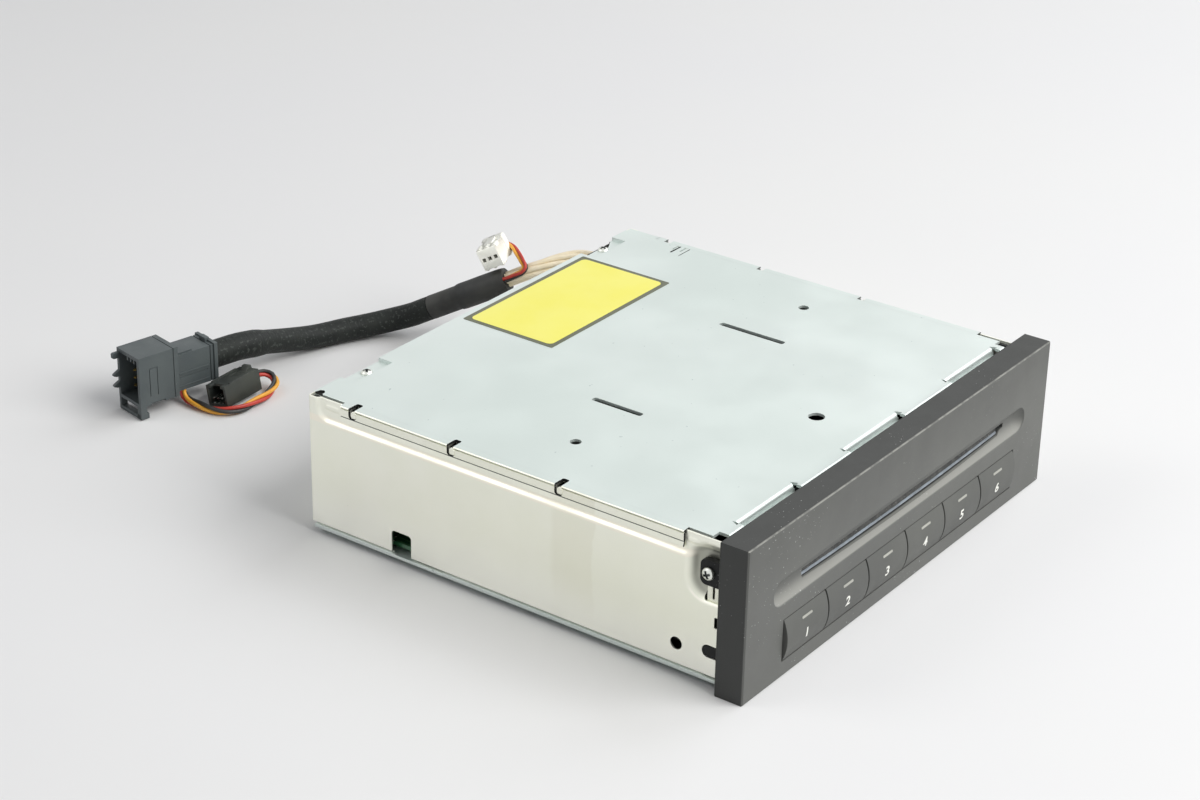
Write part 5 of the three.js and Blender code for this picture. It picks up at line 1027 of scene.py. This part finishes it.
def twisted(name, route, size, slotName, node, core=()):  # leads wound round each other
    path, length = smoothRoute(route, size["points"])
    count = len(size["colours"])
    strands = [*core, *[(size["ring"], i / count, steady(size["radius"]), size["twist"], finishes[colour])
                        for i, colour in enumerate(size["colours"])]]
    return dress(strandMesh(name, path, length, strands, 10), "casing", slotName, node), path, length


def hose(name, route, size, radiusOf, look, node):
    path, length = smoothRoute(route, size["points"])
    piece = strandMesh(name, path, length, [(0.0, 0.0, radiusOf, 0.0, finishes[look])], size["sides"])
    return dress(piece, "casing", "sleeve_plastic", node), path, length


def makeHarness():
    core = [(0.0, 0.0, steady(leads["radius"]), 0.0, finishes["creamLead"])]
    bundle, route, length = twisted("leadBundle", leadRoute, leads, "cream_lead", "lead_bundle", core)
    collarPiece = hose("sleeveCollar", collarRoute, collar, collarRadius, "sleeveTape", "sleeve_collar")[0]
    tube, path, sleeveLength = hose("cableSleeve", sleeveRoute, sleeve, sleeveRadius, "sleeveTube",
                                    "cable_sleeve")
    smallLeads, small, smallLength = twisted("smallPlugLeads", smallLeadRoute, trio, "coloured_lead",
                                             "small_plug_leads")
    whiteLeads, _, whiteLength = twisted("whitePlugLeads", whiteLeadRoute, thinTrio, "coloured_lead",
                                             "white_plug_leads")
    largeParts = makePlug()
    smallParts = makeSmallPlug()
    whitePart = makeWhitePlug()
    print("harness:", round(length, 4), round(sleeveLength, 4), round(smallLength, 4), round(whiteLength, 4))


makeHarness()


# Front

front = {"edge": 0.2, "numeralSize": 4.7, "numeralZ": 11.0, "numeralShift": -0.3, "numeralBold": 0.09,
         "numeralWide": 1.12, "keySlack": (0.15, 0.12), "keyEdge": 0.18, "lampLong": 5.6, "lampHigh": 0.75,
         "lampZ": 16.95, "lampRound": 0.6, "printProud": 0.035, "printSlices": 24}
keyCrown = {"width": 23.35, "pitch": 23.65, "low": 5.7, "high": 19.9, "crown": 1.6}
trough = {"half": 77.2, "z": 30.2, "halfHeight": 4.7, "deep": 2.4, "ringSteps": 96, "capSteps": 20,
          "backing": 3.6, "fillBeside": 1.2, "fillAbove": 0.6}
slot = {"left": -58.4, "right": 66.4, "low": 27.1, "high": 31.4, "middle": 4.0, "bow": 1.0, "reach": 58.0,
        "stepAt": 62.4, "stepZ": 29.3}
felt = {"left": -58.2, "right": 62.3, "front": 2.62, "rear": 3.5, "low": 27.95, "high": 28.85, "bow": 0.75,
        "steps": 120, "ripple": 0.06, "brushFront": 2.85, "brushHigh": 31.6}


def troughCutter():  # a long round body whose lower part scoops out the trough
    radius = (trough["halfHeight"] ** 2 + trough["deep"] ** 2) / (2 * trough["deep"])
    straight = trough["half"] - trough["halfHeight"]
    rings = []
    for end in (-1, 1):
        for i in range(trough["capSteps"] + 1):
            turn = math.pi / 2 * (i / trough["capSteps"] - (1 if end < 0 else 0))
            rings.append((end * straight + radius * math.sin(turn), radius * math.cos(turn)))
    points, faces = [], []
    sides = trough["ringSteps"]
    inner = rings[1:-1]
    for x, size in inner:
        for k in range(sides):
            turn = math.tau * k / sides
            points.append(spot(x, trough["deep"] - radius + size * math.cos(turn),
                               trough["z"] + size * math.sin(turn)))
    faces += ringFaces(len(inner), sides)
    for (x, _), start in ((rings[0], 0), (rings[-1], (len(inner) - 1) * sides)):
        points.append(spot(x, trough["deep"] - radius, trough["z"]))
        faces += [(start + k, start + (k + 1) % sides, len(points) - 1) for k in range(sides)]
    return meshFrom("troughCutter", points, faces)


def slotBow(x, rise):  # the slot's lower lip hangs lowest near the middle
    return rise * ((x - slot["middle"]) / slot["reach"]) ** 2


def slotCutter():
    outline = [(slot["right"], slot["high"]), (slot["left"], slot["high"])]
    count = 40
    for i in range(count + 1):
        x = slot["left"] + (slot["stepAt"] - slot["left"]) * i / count
        outline.append((x, slot["low"] + slotBow(x, slot["bow"])))
    outline += [(slot["stepAt"] + 1.6, slot["stepZ"]), (slot["right"], slot["stepZ"] + 0.4)]
    return prism("slotCutter", outline, "y", -1, 5)


def strip(name, nose, low, high, look):  # a soft strip that runs along the slot
    points = []
    for i in range(felt["steps"] + 1):
        x = felt["left"] + (felt["right"] - felt["left"]) * i / felt["steps"]
        rise = slotBow(x, felt["bow"])
        wave = felt["ripple"] * noise.noise(Vector((x * 0.31, nose, 0)))
        tips = felt["ripple"] * noise.noise(Vector((x * 1.7, 5, nose)))
        bottom, top = low + rise, high(rise)
        points += [spot(x, nose + wave, bottom + tips), spot(x, nose + wave, top - 0.2),
                   spot(x, nose + 0.25 + wave, top + tips), spot(x, felt["rear"], top),
                   spot(x, felt["rear"], bottom)]
    faces = ringFaces(felt["steps"] + 1, 5)
    faces += [(0, 1, 2, 3, 4), tuple(felt["steps"] * 5 + k for k in (4, 3, 2, 1, 0))]
    return meshFrom(name, points, faces, finishes[look], 50)


def makeBezel():
    bezel = finishedCopy("front_bezel", "frontBezel", 0, 1, finishes["bezelPlastic"])
    wide, high = trough["half"] + trough["fillBeside"], trough["halfHeight"] + trough["fillAbove"]
    fill = boxPiece("fill", (-wide, wide, 0, trough["backing"], trough["z"] - high, trough["z"] + high))
    carve(bezel, [fill], "UNION")
    carve(bezel, [troughCutter(), slotCutter()])
    bevelEdges(bezel, front["edge"], 3)
    dress(bezel, "casing", "bezel_plastic", "front_bezel")
    dress(strip("slotFelt", felt["front"], felt["low"], lambda rise: felt["high"] + rise, "slotFelt"),
          "casing", "flap_plastic")
    dress(strip("slotBrush", felt["brushFront"], felt["high"] - 0.1, lambda rise: felt["brushHigh"],
                "slotBrush"), "casing", "flap_plastic")


def crownFront(z):  # the key's face, in millimetres from the bezel's face
    half = (keyCrown["high"] - keyCrown["low"]) / 2
    radius = (half ** 2 + keyCrown["crown"] ** 2) / (2 * keyCrown["crown"])
    away = z - (keyCrown["high"] + keyCrown["low"]) / 2
    return radius - keyCrown["crown"] - math.sqrt(max(radius ** 2 - away ** 2, 0))


def layOnKey(piece, proud):  # slices flat print in the x-z plane and bends it onto the crowned face
    shape = bmesh.new()
    shape.from_mesh(piece.data)
    levels = [vertex.co.z for vertex in shape.verts]
    slices = front["printSlices"]
    for i in range(1, slices):
        level = min(levels) + (max(levels) - min(levels)) * i / slices
        bmesh.ops.bisect_plane(shape, geom=shape.verts[:] + shape.edges[:] + shape.faces[:], dist=1e-5,
                               plane_co=(0, 0, level), plane_no=(0, 0, 1))
    shape.to_mesh(piece.data)
    shape.free()
    for vertex in piece.data.vertices:
        x, depth, z = vertex.co
        vertex.co = spot(x, crownFront(z) - proud * (1 if depth < 0 else -1), z)
    outward(piece)
    smoothByAngle(piece, 40)
    return piece


def numeral(text, x, z):
    curve = bpy.data.curves.new(f"numeral{text}", "FONT")
    curve.body = text
    curve.size = front["numeralSize"]
    curve.align_x = "CENTER"
    curve.align_y = "CENTER"
    curve.extrude = 0.5
    curve.offset = front["numeralBold"]
    curve.resolution_u = 6
    piece = linkObject(f"numeral{text}", curve)
    piece.matrix_world = (Matrix.Translation((x, 0, z)) @ Matrix.Rotation(math.pi / 2, 4, "X")
                          @ Matrix.Scale(front["numeralWide"], 4, (1, 0, 0)))
    piece = settle(piece)
    piece.data.materials.clear()
    piece.data.materials.append(finishes["paintWhite"])
    return layOnKey(piece, front["printProud"])


def lampBar(number, x, z):
    half, high = front["lampLong"] / 2, front["lampHigh"] / 2
    outline = roundOutline(x - half, x + half, z - high, z + high, high * front["lampRound"], 3)
    points = [(a, depth, b) for depth in (-1, 1) for a, b in outline]
    bar = meshFrom(f"lampBar{number}", points, prismFaces(len(outline)), finishes["lampGrey"])
    return layOnKey(bar, front["printProud"])


def makeFront():
    makeBezel()
    for number in range(1, 7):
        x = (number - 3.5) * keyCrown["pitch"]
        body = f"disc_key_{number}"
        key = finishedCopy(f"key_{number}", f"discKey{number}", front["keyEdge"], 2, finishes["keyPlastic"])
        centre = spot(x, 0, (keyCrown["low"] + keyCrown["high"]) / 2)
        slack = [1 - 2 * front["keySlack"][0] / keyCrown["width"],
                 1 - 2 * front["keySlack"][1] / (keyCrown["high"] - keyCrown["low"])]
        for vertex in key.data.vertices:  # opens the gap round the key to what the photo shows
            vertex.co.x = centre[0] + (vertex.co.x - centre[0]) * slack[0]
            vertex.co.z = centre[2] + (vertex.co.z - centre[2]) * slack[1]
        dress(key, body, "key_plastic", f"key_{number}")
        dress(numeral(str(number), x + front["numeralShift"], front["numeralZ"]), body, "white_plastic")
        dress(lampBar(number, x, front["lampZ"]), body, "white_plastic")
    print("front: bezel, keys, numerals")


makeFront()


# Case

wall = {"half": 89.2, "front": 10.6, "rear": 172.0, "corner": 1.2, "thick": 0.6,
        "stripDeep": 1.1, "stripRear": 168.0, "stripLow": 42.65, "stripRound": 4.2, "shoulder": 1.8,
        "pocketRear": 22.4, "pocketLow": 29.9, "pocketHigh": 46.6, "pocketDeep": 3.1, "pocketRound": 6.0,
        "pocketSlope": 4.0, "lipTop": 3.75, "lipSlope": 0.5, "openTop": 49.85, "underTop": 48.6,
        "flangeFront": 24.9, "flangeRear": 158.4, "rearIn": 84.0, "insideEdge": 0.15, "cornerSteps": 6,
        "stepFront": 0.45, "stepPocket": 0.7, "pocketEnd": 30, "stepMiddle": 2.2, "stepRear": 0.4}
wallLevels = ((3.4, 4.6, 0.1), (4.6, 27.4, 2.0), (27.4, 34.5, 0.4), (34.5, 40.6, 0.8), (40.6, 48.3, 0.3))
wallTop = ((0.2, 0.0), (0.06, 0.07), (0.0, 0.22))  # below the top edge, and how far the edge is rounded back
wallCuts = {  # outlines in y and z: four limits, corner and its steps
    "tongueSlot": (5, 16.9, 10.35, 14.65, 2.1, 8), "edgeNotch": (6, 12.9, 21.1, 24.8, 0.4, 3),
    "tabHole": (9.5, 17.5, 29.0, 35.4, 1.1, 4), "sideWindow": (129.4, 137.5, -4, 12.0, 1.2, 5),
}
wallHole = (26.2, 11.1, 2.15, 40)  # y, z, radius and steps
pocketTab = {"outline": (11.3, 16.5, 28.4, 34.9, 0.9, 4), "slit": (13.9, 14.6, 29.9, 34.0, 0.3, 4),
             "inner": 87.3, "outer": 88.0, "edge": 0.2}
frameKeep = 83.2  # the solid frame is kept inside this distance, the drawn walls replace the rest
coverShelf = {"inner": 82.6, "outer": 88.1, "low": 47.9, "high": 48.6}
hooks = {"places": (153.08, 112.83, 70.86), "rear": 1.75, "front": -1.25, "middle": -0.85, "low": 46.4,
         "inner": 85.8, "innerRight": 88.0, "round": 1.0, "slit": 1.05, "proud": 0.14, "clear": 2.6,
         "passage": (-1.3, 1.75, 46.1, 0.5), "tabFront": 0.3, "tabLow": 0.7, "tabTop": 49.25, "tabRound": 0.7,
         "tabFace": 89.15, "tabEdge": 0.22, "cutTop": 49.3, "notchIn": 1.3, "notchRound": 0.7}
pills = {"places": ((20.1, 24.0), (159.4, 165.2)), "z": 47.3, "high": 1.5, "proud": 0.35, "round": 0.7,
         "slope": 0.3}


def wallDepth(y, z):  # how far the sheet is pressed in from the wall's face
    reach = roundedReach(y, z, -60, wall["stripRear"], wall["stripLow"], 90, wall["stripRound"])
    strip = wall["stripDeep"] * softStep(-reach, -wall["shoulder"] / 2, wall["shoulder"] / 2)
    mouth = roundedReach(y, z, -40, wall["pocketRear"], wall["pocketLow"], wall["pocketHigh"],
                         wall["pocketRound"])
    share = softStep(-mouth, -wall["pocketSlope"] / 2, wall["pocketSlope"] / 2)
    deep = strip + (wall["pocketDeep"] - strip) * share
    foot = wall["stripDeep"] * softStep(z, wall["lipTop"] + wall["lipSlope"], wall["lipTop"])
    deep = max(deep, foot)
    for start, end in pills["places"]:
        pill = roundedReach(y, z, start, end, pills["z"] - pills["high"] / 2, pills["z"] + pills["high"] / 2,
                            pills["round"])
        deep -= pills["proud"] * softStep(-pill, -pills["slope"], pills["slope"])
    return deep


def wallSkin(side):
    corner = wall["corner"]
    ends = [wall["flangeFront"] - 0.25, wall["flangeFront"] - 0.05, wall["flangeRear"] + 0.05,
            wall["flangeRear"] + 0.25]
    places = spread((wall["front"], ends[0], wall["stepFront"]),
                    (ends[1], wall["pocketEnd"], wall["stepPocket"]),
                    (wall["pocketEnd"], ends[2], wall["stepMiddle"]),
                    (ends[3], wall["rear"] - corner, wall["stepRear"]))
    places = sorted(set(places + ends))
    plan = [(wall["half"], y, 1, 0, y) for y in places]
    for i in range(1, wall["cornerSteps"] + 1):
        turn = math.pi / 2 * i / wall["cornerSteps"]
        plan.append((wall["half"] - corner + corner * math.cos(turn),
                     wall["rear"] - corner + corner * math.sin(turn), math.cos(turn), math.sin(turn),
                     wall["rear"]))
    plan.append((wall["rearIn"], wall["rear"], 0, 1, wall["rear"] + 40))
    levels = spread(*wallLevels)
    outer, inner, faces = [], [], []
    for x, y, nx, ny, yFor in plan:
        isOpen = y < wall["flangeFront"] - 0.15 or y > wall["flangeRear"] + 0.15
        top = wall["openTop"] if isOpen else wall["underTop"]
        column = [(z, 0.0) for z in levels] + [(top - below, back) for below, back in wallTop]
        for z, back in column:
            face = wallDepth(yFor, z) if yFor <= wall["rear"] else 0.0
            for points, deep in ((outer, face + back), (inner, face + wall["thick"])):
                points.append(spot(side * (x - nx * deep), y - ny * deep, z))
    rows, count = len(levels) + len(wallTop), len(outer)
    ring = [i * rows for i in range(len(plan))] + [(len(plan) - 1) * rows + k for k in range(1, rows)]
    ring += [i * rows + rows - 1 for i in range(len(plan) - 2, -1, -1)] + [k for k in range(rows - 2, 0, -1)]
    for i in range(len(plan) - 1):
        for k in range(rows - 1):
            a = i * rows + k
            faces.append((a, a + rows, a + rows + 1, a + 1))
            faces.append((a + count + 1, a + rows + 1 + count, a + rows + count, a + count))
    for a, b in zip(ring, ring[1:] + ring[:1]):
        faces.append((b, a, a + count, b + count))
    return meshFrom("wallSkin", outer + inner, faces, finishes["wallZinc"])


def makeWalls():
    zinc = finishes["wallZinc"]
    inside = finishedCopy("case_frame", "caseFrame", 0, 1, zinc)
    carve(inside, [boxPiece("off", (*sideSpan(side, frameKeep, 99), 0, 180, 0, 60)) for side in (-1, 1)])
    parts = [bevelEdges(inside, wall["insideEdge"], 1)]
    for side in (-1, 1):
        skin = wallSkin(side)
        span = sideSpan(side, 80, 95)
        cutters = [prism("hole", circleOutline(*wallHole), "x", *span)]
        cutters += [prism(name, roundOutline(*limits), "x", *span) for name, limits in wallCuts.items()
                    if name != "sideWindow" or side < 0]
        carve(skin, cutters)
        start, end, low, corner = hooks["passage"]
        carve(skin, [prism("hookPassage", roundOutline(place + start, place + end, low, 60, corner, 3), "x",
                           *span) for place in hooks["places"]])
        parts.append(skin)
        stops = [wall["flangeFront"]]
        for place in sorted(hooks["places"]):
            stops += [place - hooks["clear"], place + hooks["clear"]]
        stops.append(wall["flangeRear"])
        for start, end in zip(stops[::2], stops[1::2]):
            limits = (*sideSpan(side, coverShelf["inner"], coverShelf["outer"]), start, end,
                      coverShelf["low"], coverShelf["high"])
            parts.append(boxPiece("coverShelf", limits, zinc))
    for side in (-1, 1):  # a bent lug with a slit, seen under the bezel's ear
        tab = prism("pocketTab", roundOutline(*pocketTab["outline"]), "x",
                    *sideSpan(side, pocketTab["inner"], pocketTab["outer"]), zinc)
        carve(tab, [prism("tabSlit", roundOutline(*pocketTab["slit"]), "x", *sideSpan(side, 80, 92))])
        parts.append(bevelEdges(tab, pocketTab["edge"], 2))
    whole = joinPieces("caseFrame", parts)
    smoothByAngle(whole, 30)
    dress(whole, "casing", "wall_sheet", "case_frame")


flange = {  # distance from the middle and height, from the plate's edge round to its inner side
    "outline": [(86.1, 50.0), (88.55, 50.0), (88.85, 49.92), (89.06, 49.72), (89.14, 49.46), (88.72, 49.36),
                (88.72, 49.1), (89.12, 48.98), (89.02, 46.5), (88.8, 46.34), (88.62, 46.2), (88.84, 46.04),
                (89.2, 44.75), (89.16, 44.5), (89.0, 44.36), (88.5, 44.4), (88.3, 46.1), (88.3, 49.0),
                (88.2, 49.2), (86.1, 49.2)],
    "face": 88.2, "groove": (49.05, 49.4), "crease": (46.1, 46.4), "topFrom": 49.6, "edge": 0.08, "lap": 0.3,
}
plate = {  # where the solid cover ends at the sides, and the edges that take its place
    "cut": 86.15, "front": 16.5, "inner": 86.1, "edge": 86.3, "low": 49.1, "top": 50, "hookFloor": 48.7,
    "rearLeft": (168.2, 86.3), "rearRight": (171.5, 88.5),
    "edgeRound": 0.12,
    # painted shade: black strips under the gaps between the plate and the wall
    "gapShade": ((11.8, 24.4, 87.35), (158.9, 168.6, 87.35), (168.6, 171.2, 88.4)), "gapShadeHigh": (48.4, 48.95),
}
label = {"x0": -12.4, "x1": 56.5, "y0": 131.6, "y1": 169.6, "border": 1.7, "corner": 0.5, "fieldCorner": 2.0,
         "thick": 0.12, "fieldThick": 0.05}


darkCuts = [  # floor height and outline of shallow cuts in the plate, their floors painted near black as shade so that they look like gaps
    (48.1, [(59.2, 172.4), (59.2, 170.6), (69.6, 170.9), (69.6, 172.4)]),
    (48.1, [(70.6, 172.4), (70.2, 169.4), (71.4, 169.2), (75.9, 171.6), (75.9, 172.4)]),
    (49.3, [(79.4, 147.0), (85.9, 146.9), (85.9, 147.6), (79.4, 147.7)]),
    (49.3, [(78.6, 143.0), (85.9, 143.0), (85.9, 143.4), (78.6, 143.3)]),
    (49.3, [(-86.2, 168.3), (-84.6, 168.5), (-83.7, 169.6), (-84.3, 170.8), (-86.2, 171.4)]),
]
darkFaces = {"hookX": -84.3, "hookZ": 46.2, "hookY": (-1.4, 1.9), "about": 0.1, "below": 0.05, "above": 0.62,
             "top": 49.96}


def darkenCuts(piece, cuts=(), frontEnd=False):  # painted shade: the faces of the hook slots, the front end of the flange and the floors of the shallow cuts take a near-black finish
    piece.data.materials.append(finishes["cutShade"])
    index = len(piece.data.materials) - 1
    start, end = darkFaces["hookY"]
    about = darkFaces["about"]
    for face in piece.data.polygons:
        x, y, z = (value * 1000 for value in face.center)
        y += depthMiddle
        paintedShade = (x < darkFaces["hookX"] and z > darkFaces["hookZ"]
                and any(start < y - place < end for place in hooks["places"]))
        paintedShade = paintedShade or (frontEnd and abs(face.normal.y) > 0.9 and y < wall["flangeFront"] + about)
        for floor, outline in cuts:
            xs, ys = zip(*outline)
            paintedShade = paintedShade or (min(xs) - about < x < max(xs) + about and min(ys) - about < y < max(ys) + about
                            and floor - darkFaces["below"] < z < floor + darkFaces["above"])
        if paintedShade and z < darkFaces["top"]:
            face.material_index = index


def makeFlange(side):
    piece = prism("flange", [(side * a, b) for a, b in flange["outline"]], "y", wall["flangeFront"],
                  wall["flangeRear"], finishes["wallZinc"])
    cutters = []
    for place in hooks["places"]:
        start, end = place + hooks["middle"], place + hooks["rear"]
        cutters += [boxPiece("hookTop", (*sideSpan(side, 80, 99), start, end, plate["hookFloor"], 52)),
                    prism("hookSide", roundOutline(place + hooks["front"], end, hooks["low"], hooks["cutTop"],
                                                   hooks["round"]), "x", *sideSpan(side, flange["face"], 95))]
    carve(piece, cutters)
    bevelEdges(piece, flange["edge"], 1)
    for name in ("coverZinc", "shadedSteel"):
        piece.data.materials.append(finishes[name])
    for face in piece.data.polygons:
        height = face.center.z * 1000
        if face.normal.z > 0.75 and height > flange["topFrom"]:
            face.material_index = 1
        # painted shade: the groove and the crease take the darker steel
        elif any(low < height < high for low, high in (flange["groove"], flange["crease"])):
            face.material_index = 2
    darkenCuts(piece, frontEnd=True)
    return piece


def makeCoverSide(side):
    parts = [makeFlange(side)]
    for place in hooks["places"]:
        outline = roundOutline(place + hooks["front"] - hooks["tabFront"],
                               place + hooks["rear"] - hooks["slit"], hooks["low"] + hooks["tabLow"],
                               hooks["tabTop"], hooks["tabRound"], 5)
        tab = prism("hookTab", outline, "x", *sideSpan(side, flange["face"],
                                                       hooks["tabFace"] + hooks["proud"]),
                    finishes["wallZinc"])
        parts.append(bevelEdges(tab, hooks["tabEdge"], 2))
    rearEnd, rearReach = plate["rearLeft" if side < 0 else "rearRight"]
    for start, end, reach in ((plate["front"] + 0.1, wall["flangeFront"] + flange["lap"], plate["edge"]),
                              (wall["flangeRear"] - flange["lap"], rearEnd, rearReach)):
        limits = (*sideSpan(side, plate["inner"], reach), start, end, plate["low"], plate["top"])
        parts.append(bevelEdges(boxPiece("plateEdge", limits, finishes["coverZinc"]), plate["edgeRound"], 1))
    for start, end, reach in plate["gapShade"]:  # painted shade: black strips under the gap
        limits = (*sideSpan(side, plate["edge"], reach), start, end, *plate["gapShadeHigh"])
        parts.append(boxPiece("gapShadeStrip", limits, finishes["blackRubber"]))
    return parts


def makeCover():
    cover = finishedCopy("top_cover", "topCover", 0, 1, finishes["coverZinc"])
    cutters = [boxPiece("sideOff", (*sideSpan(side, plate["cut"], 99), plate["front"], 180, 30, 60))
               for side in (-1, 1)]
    for side, inner in ((-1, hooks["inner"]), (1, hooks["innerRight"])):
        for place in hooks["places"]:
            outline = roundOutline(*sideSpan(side, inner - hooks["notchIn"], 99), place + hooks["middle"],
                                   place + hooks["rear"], hooks["notchRound"])
            cutters.append(prism("hookEnd", outline, "z", plate["hookFloor"], 52))
    cutters += [prism("darkCut", outline, "z", floor, 52) for floor, outline in darkCuts]
    carve(cover, cutters)
    bevelEdges(cover, plate["edgeRound"], 1)
    darkenCuts(cover, darkCuts)
    whole = joinPieces("topCover", [cover, *makeCoverSide(-1), *makeCoverSide(1)])
    dress(whole, "casing", "zinc_sheet", "top_cover")


def makeCase():
    makeWalls()
    makeCover()
    dress(finishedCopy("bottom_cover", "bottomCover", 0.3, 2, finishes["coverZinc"]), "casing", "wall_sheet",
          "bottom_cover")
    top, thick, inset = plate["top"], label["thick"], label["border"]
    sheet = prism("labelSheet", roundOutline(label["x0"], label["x1"], label["y0"], label["y1"],
                                             label["corner"], 4), "z", top, top + thick,
                  finishes["labelBorder"])
    field = prism("labelField", roundOutline(label["x0"] + inset, label["x1"] - inset, label["y0"] + inset,
                                             label["y1"] - inset, label["fieldCorner"], 8),
                  "z", top + thick - 0.01, top + thick + label["fieldThick"], finishes["labelYellow"])
    dress(sheet, "casing", "zinc_sheet")
    dress(field, "casing", "zinc_sheet")
    print("case and label")


makeCase()

nodeFinishes = {
    "boardGreen": ["key_board", "main_board"],
    "paleMoulding": ["flat_ribbon", "roller_gear", "idler_gear", "tray_carrier", "corner_gear"],
    "motorSteel": ["roller_shaft", "loading_motor", "lift_motor", "spindle_motor", "guide_rod", "lead_screw",
                   "sled_motor"],
    "blackRubber": ["roller_rubber", "damper_front_left", "damper_front_right", "damper_rear_right",
                    "rear_gland"],
    "darkMoulding": ["disc_guide", "tray_1", "tray_2", "tray_3", "tray_4", "tray_5", "tray_6", "turntable",
                     "pickup_sled", "clamp_puck"],
    # painted shade: the inner parts take a darker steel so that openings look black
    "shadedSteel": ["cam_slide_left", "cam_slide_rear", "traverse_base", "clamp_arm", "mech_chassis"],
    "brass": ["motor_pinion", "lift_pinion"],
    "flapFilm": ["slot_flap"],
}
for finishName, names in nodeFinishes.items():
    for nodeName in names:
        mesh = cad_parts[nodeName].data
        mesh.materials.clear()
        mesh.materials.append(finishes[finishName])
print("inner parts dressed")
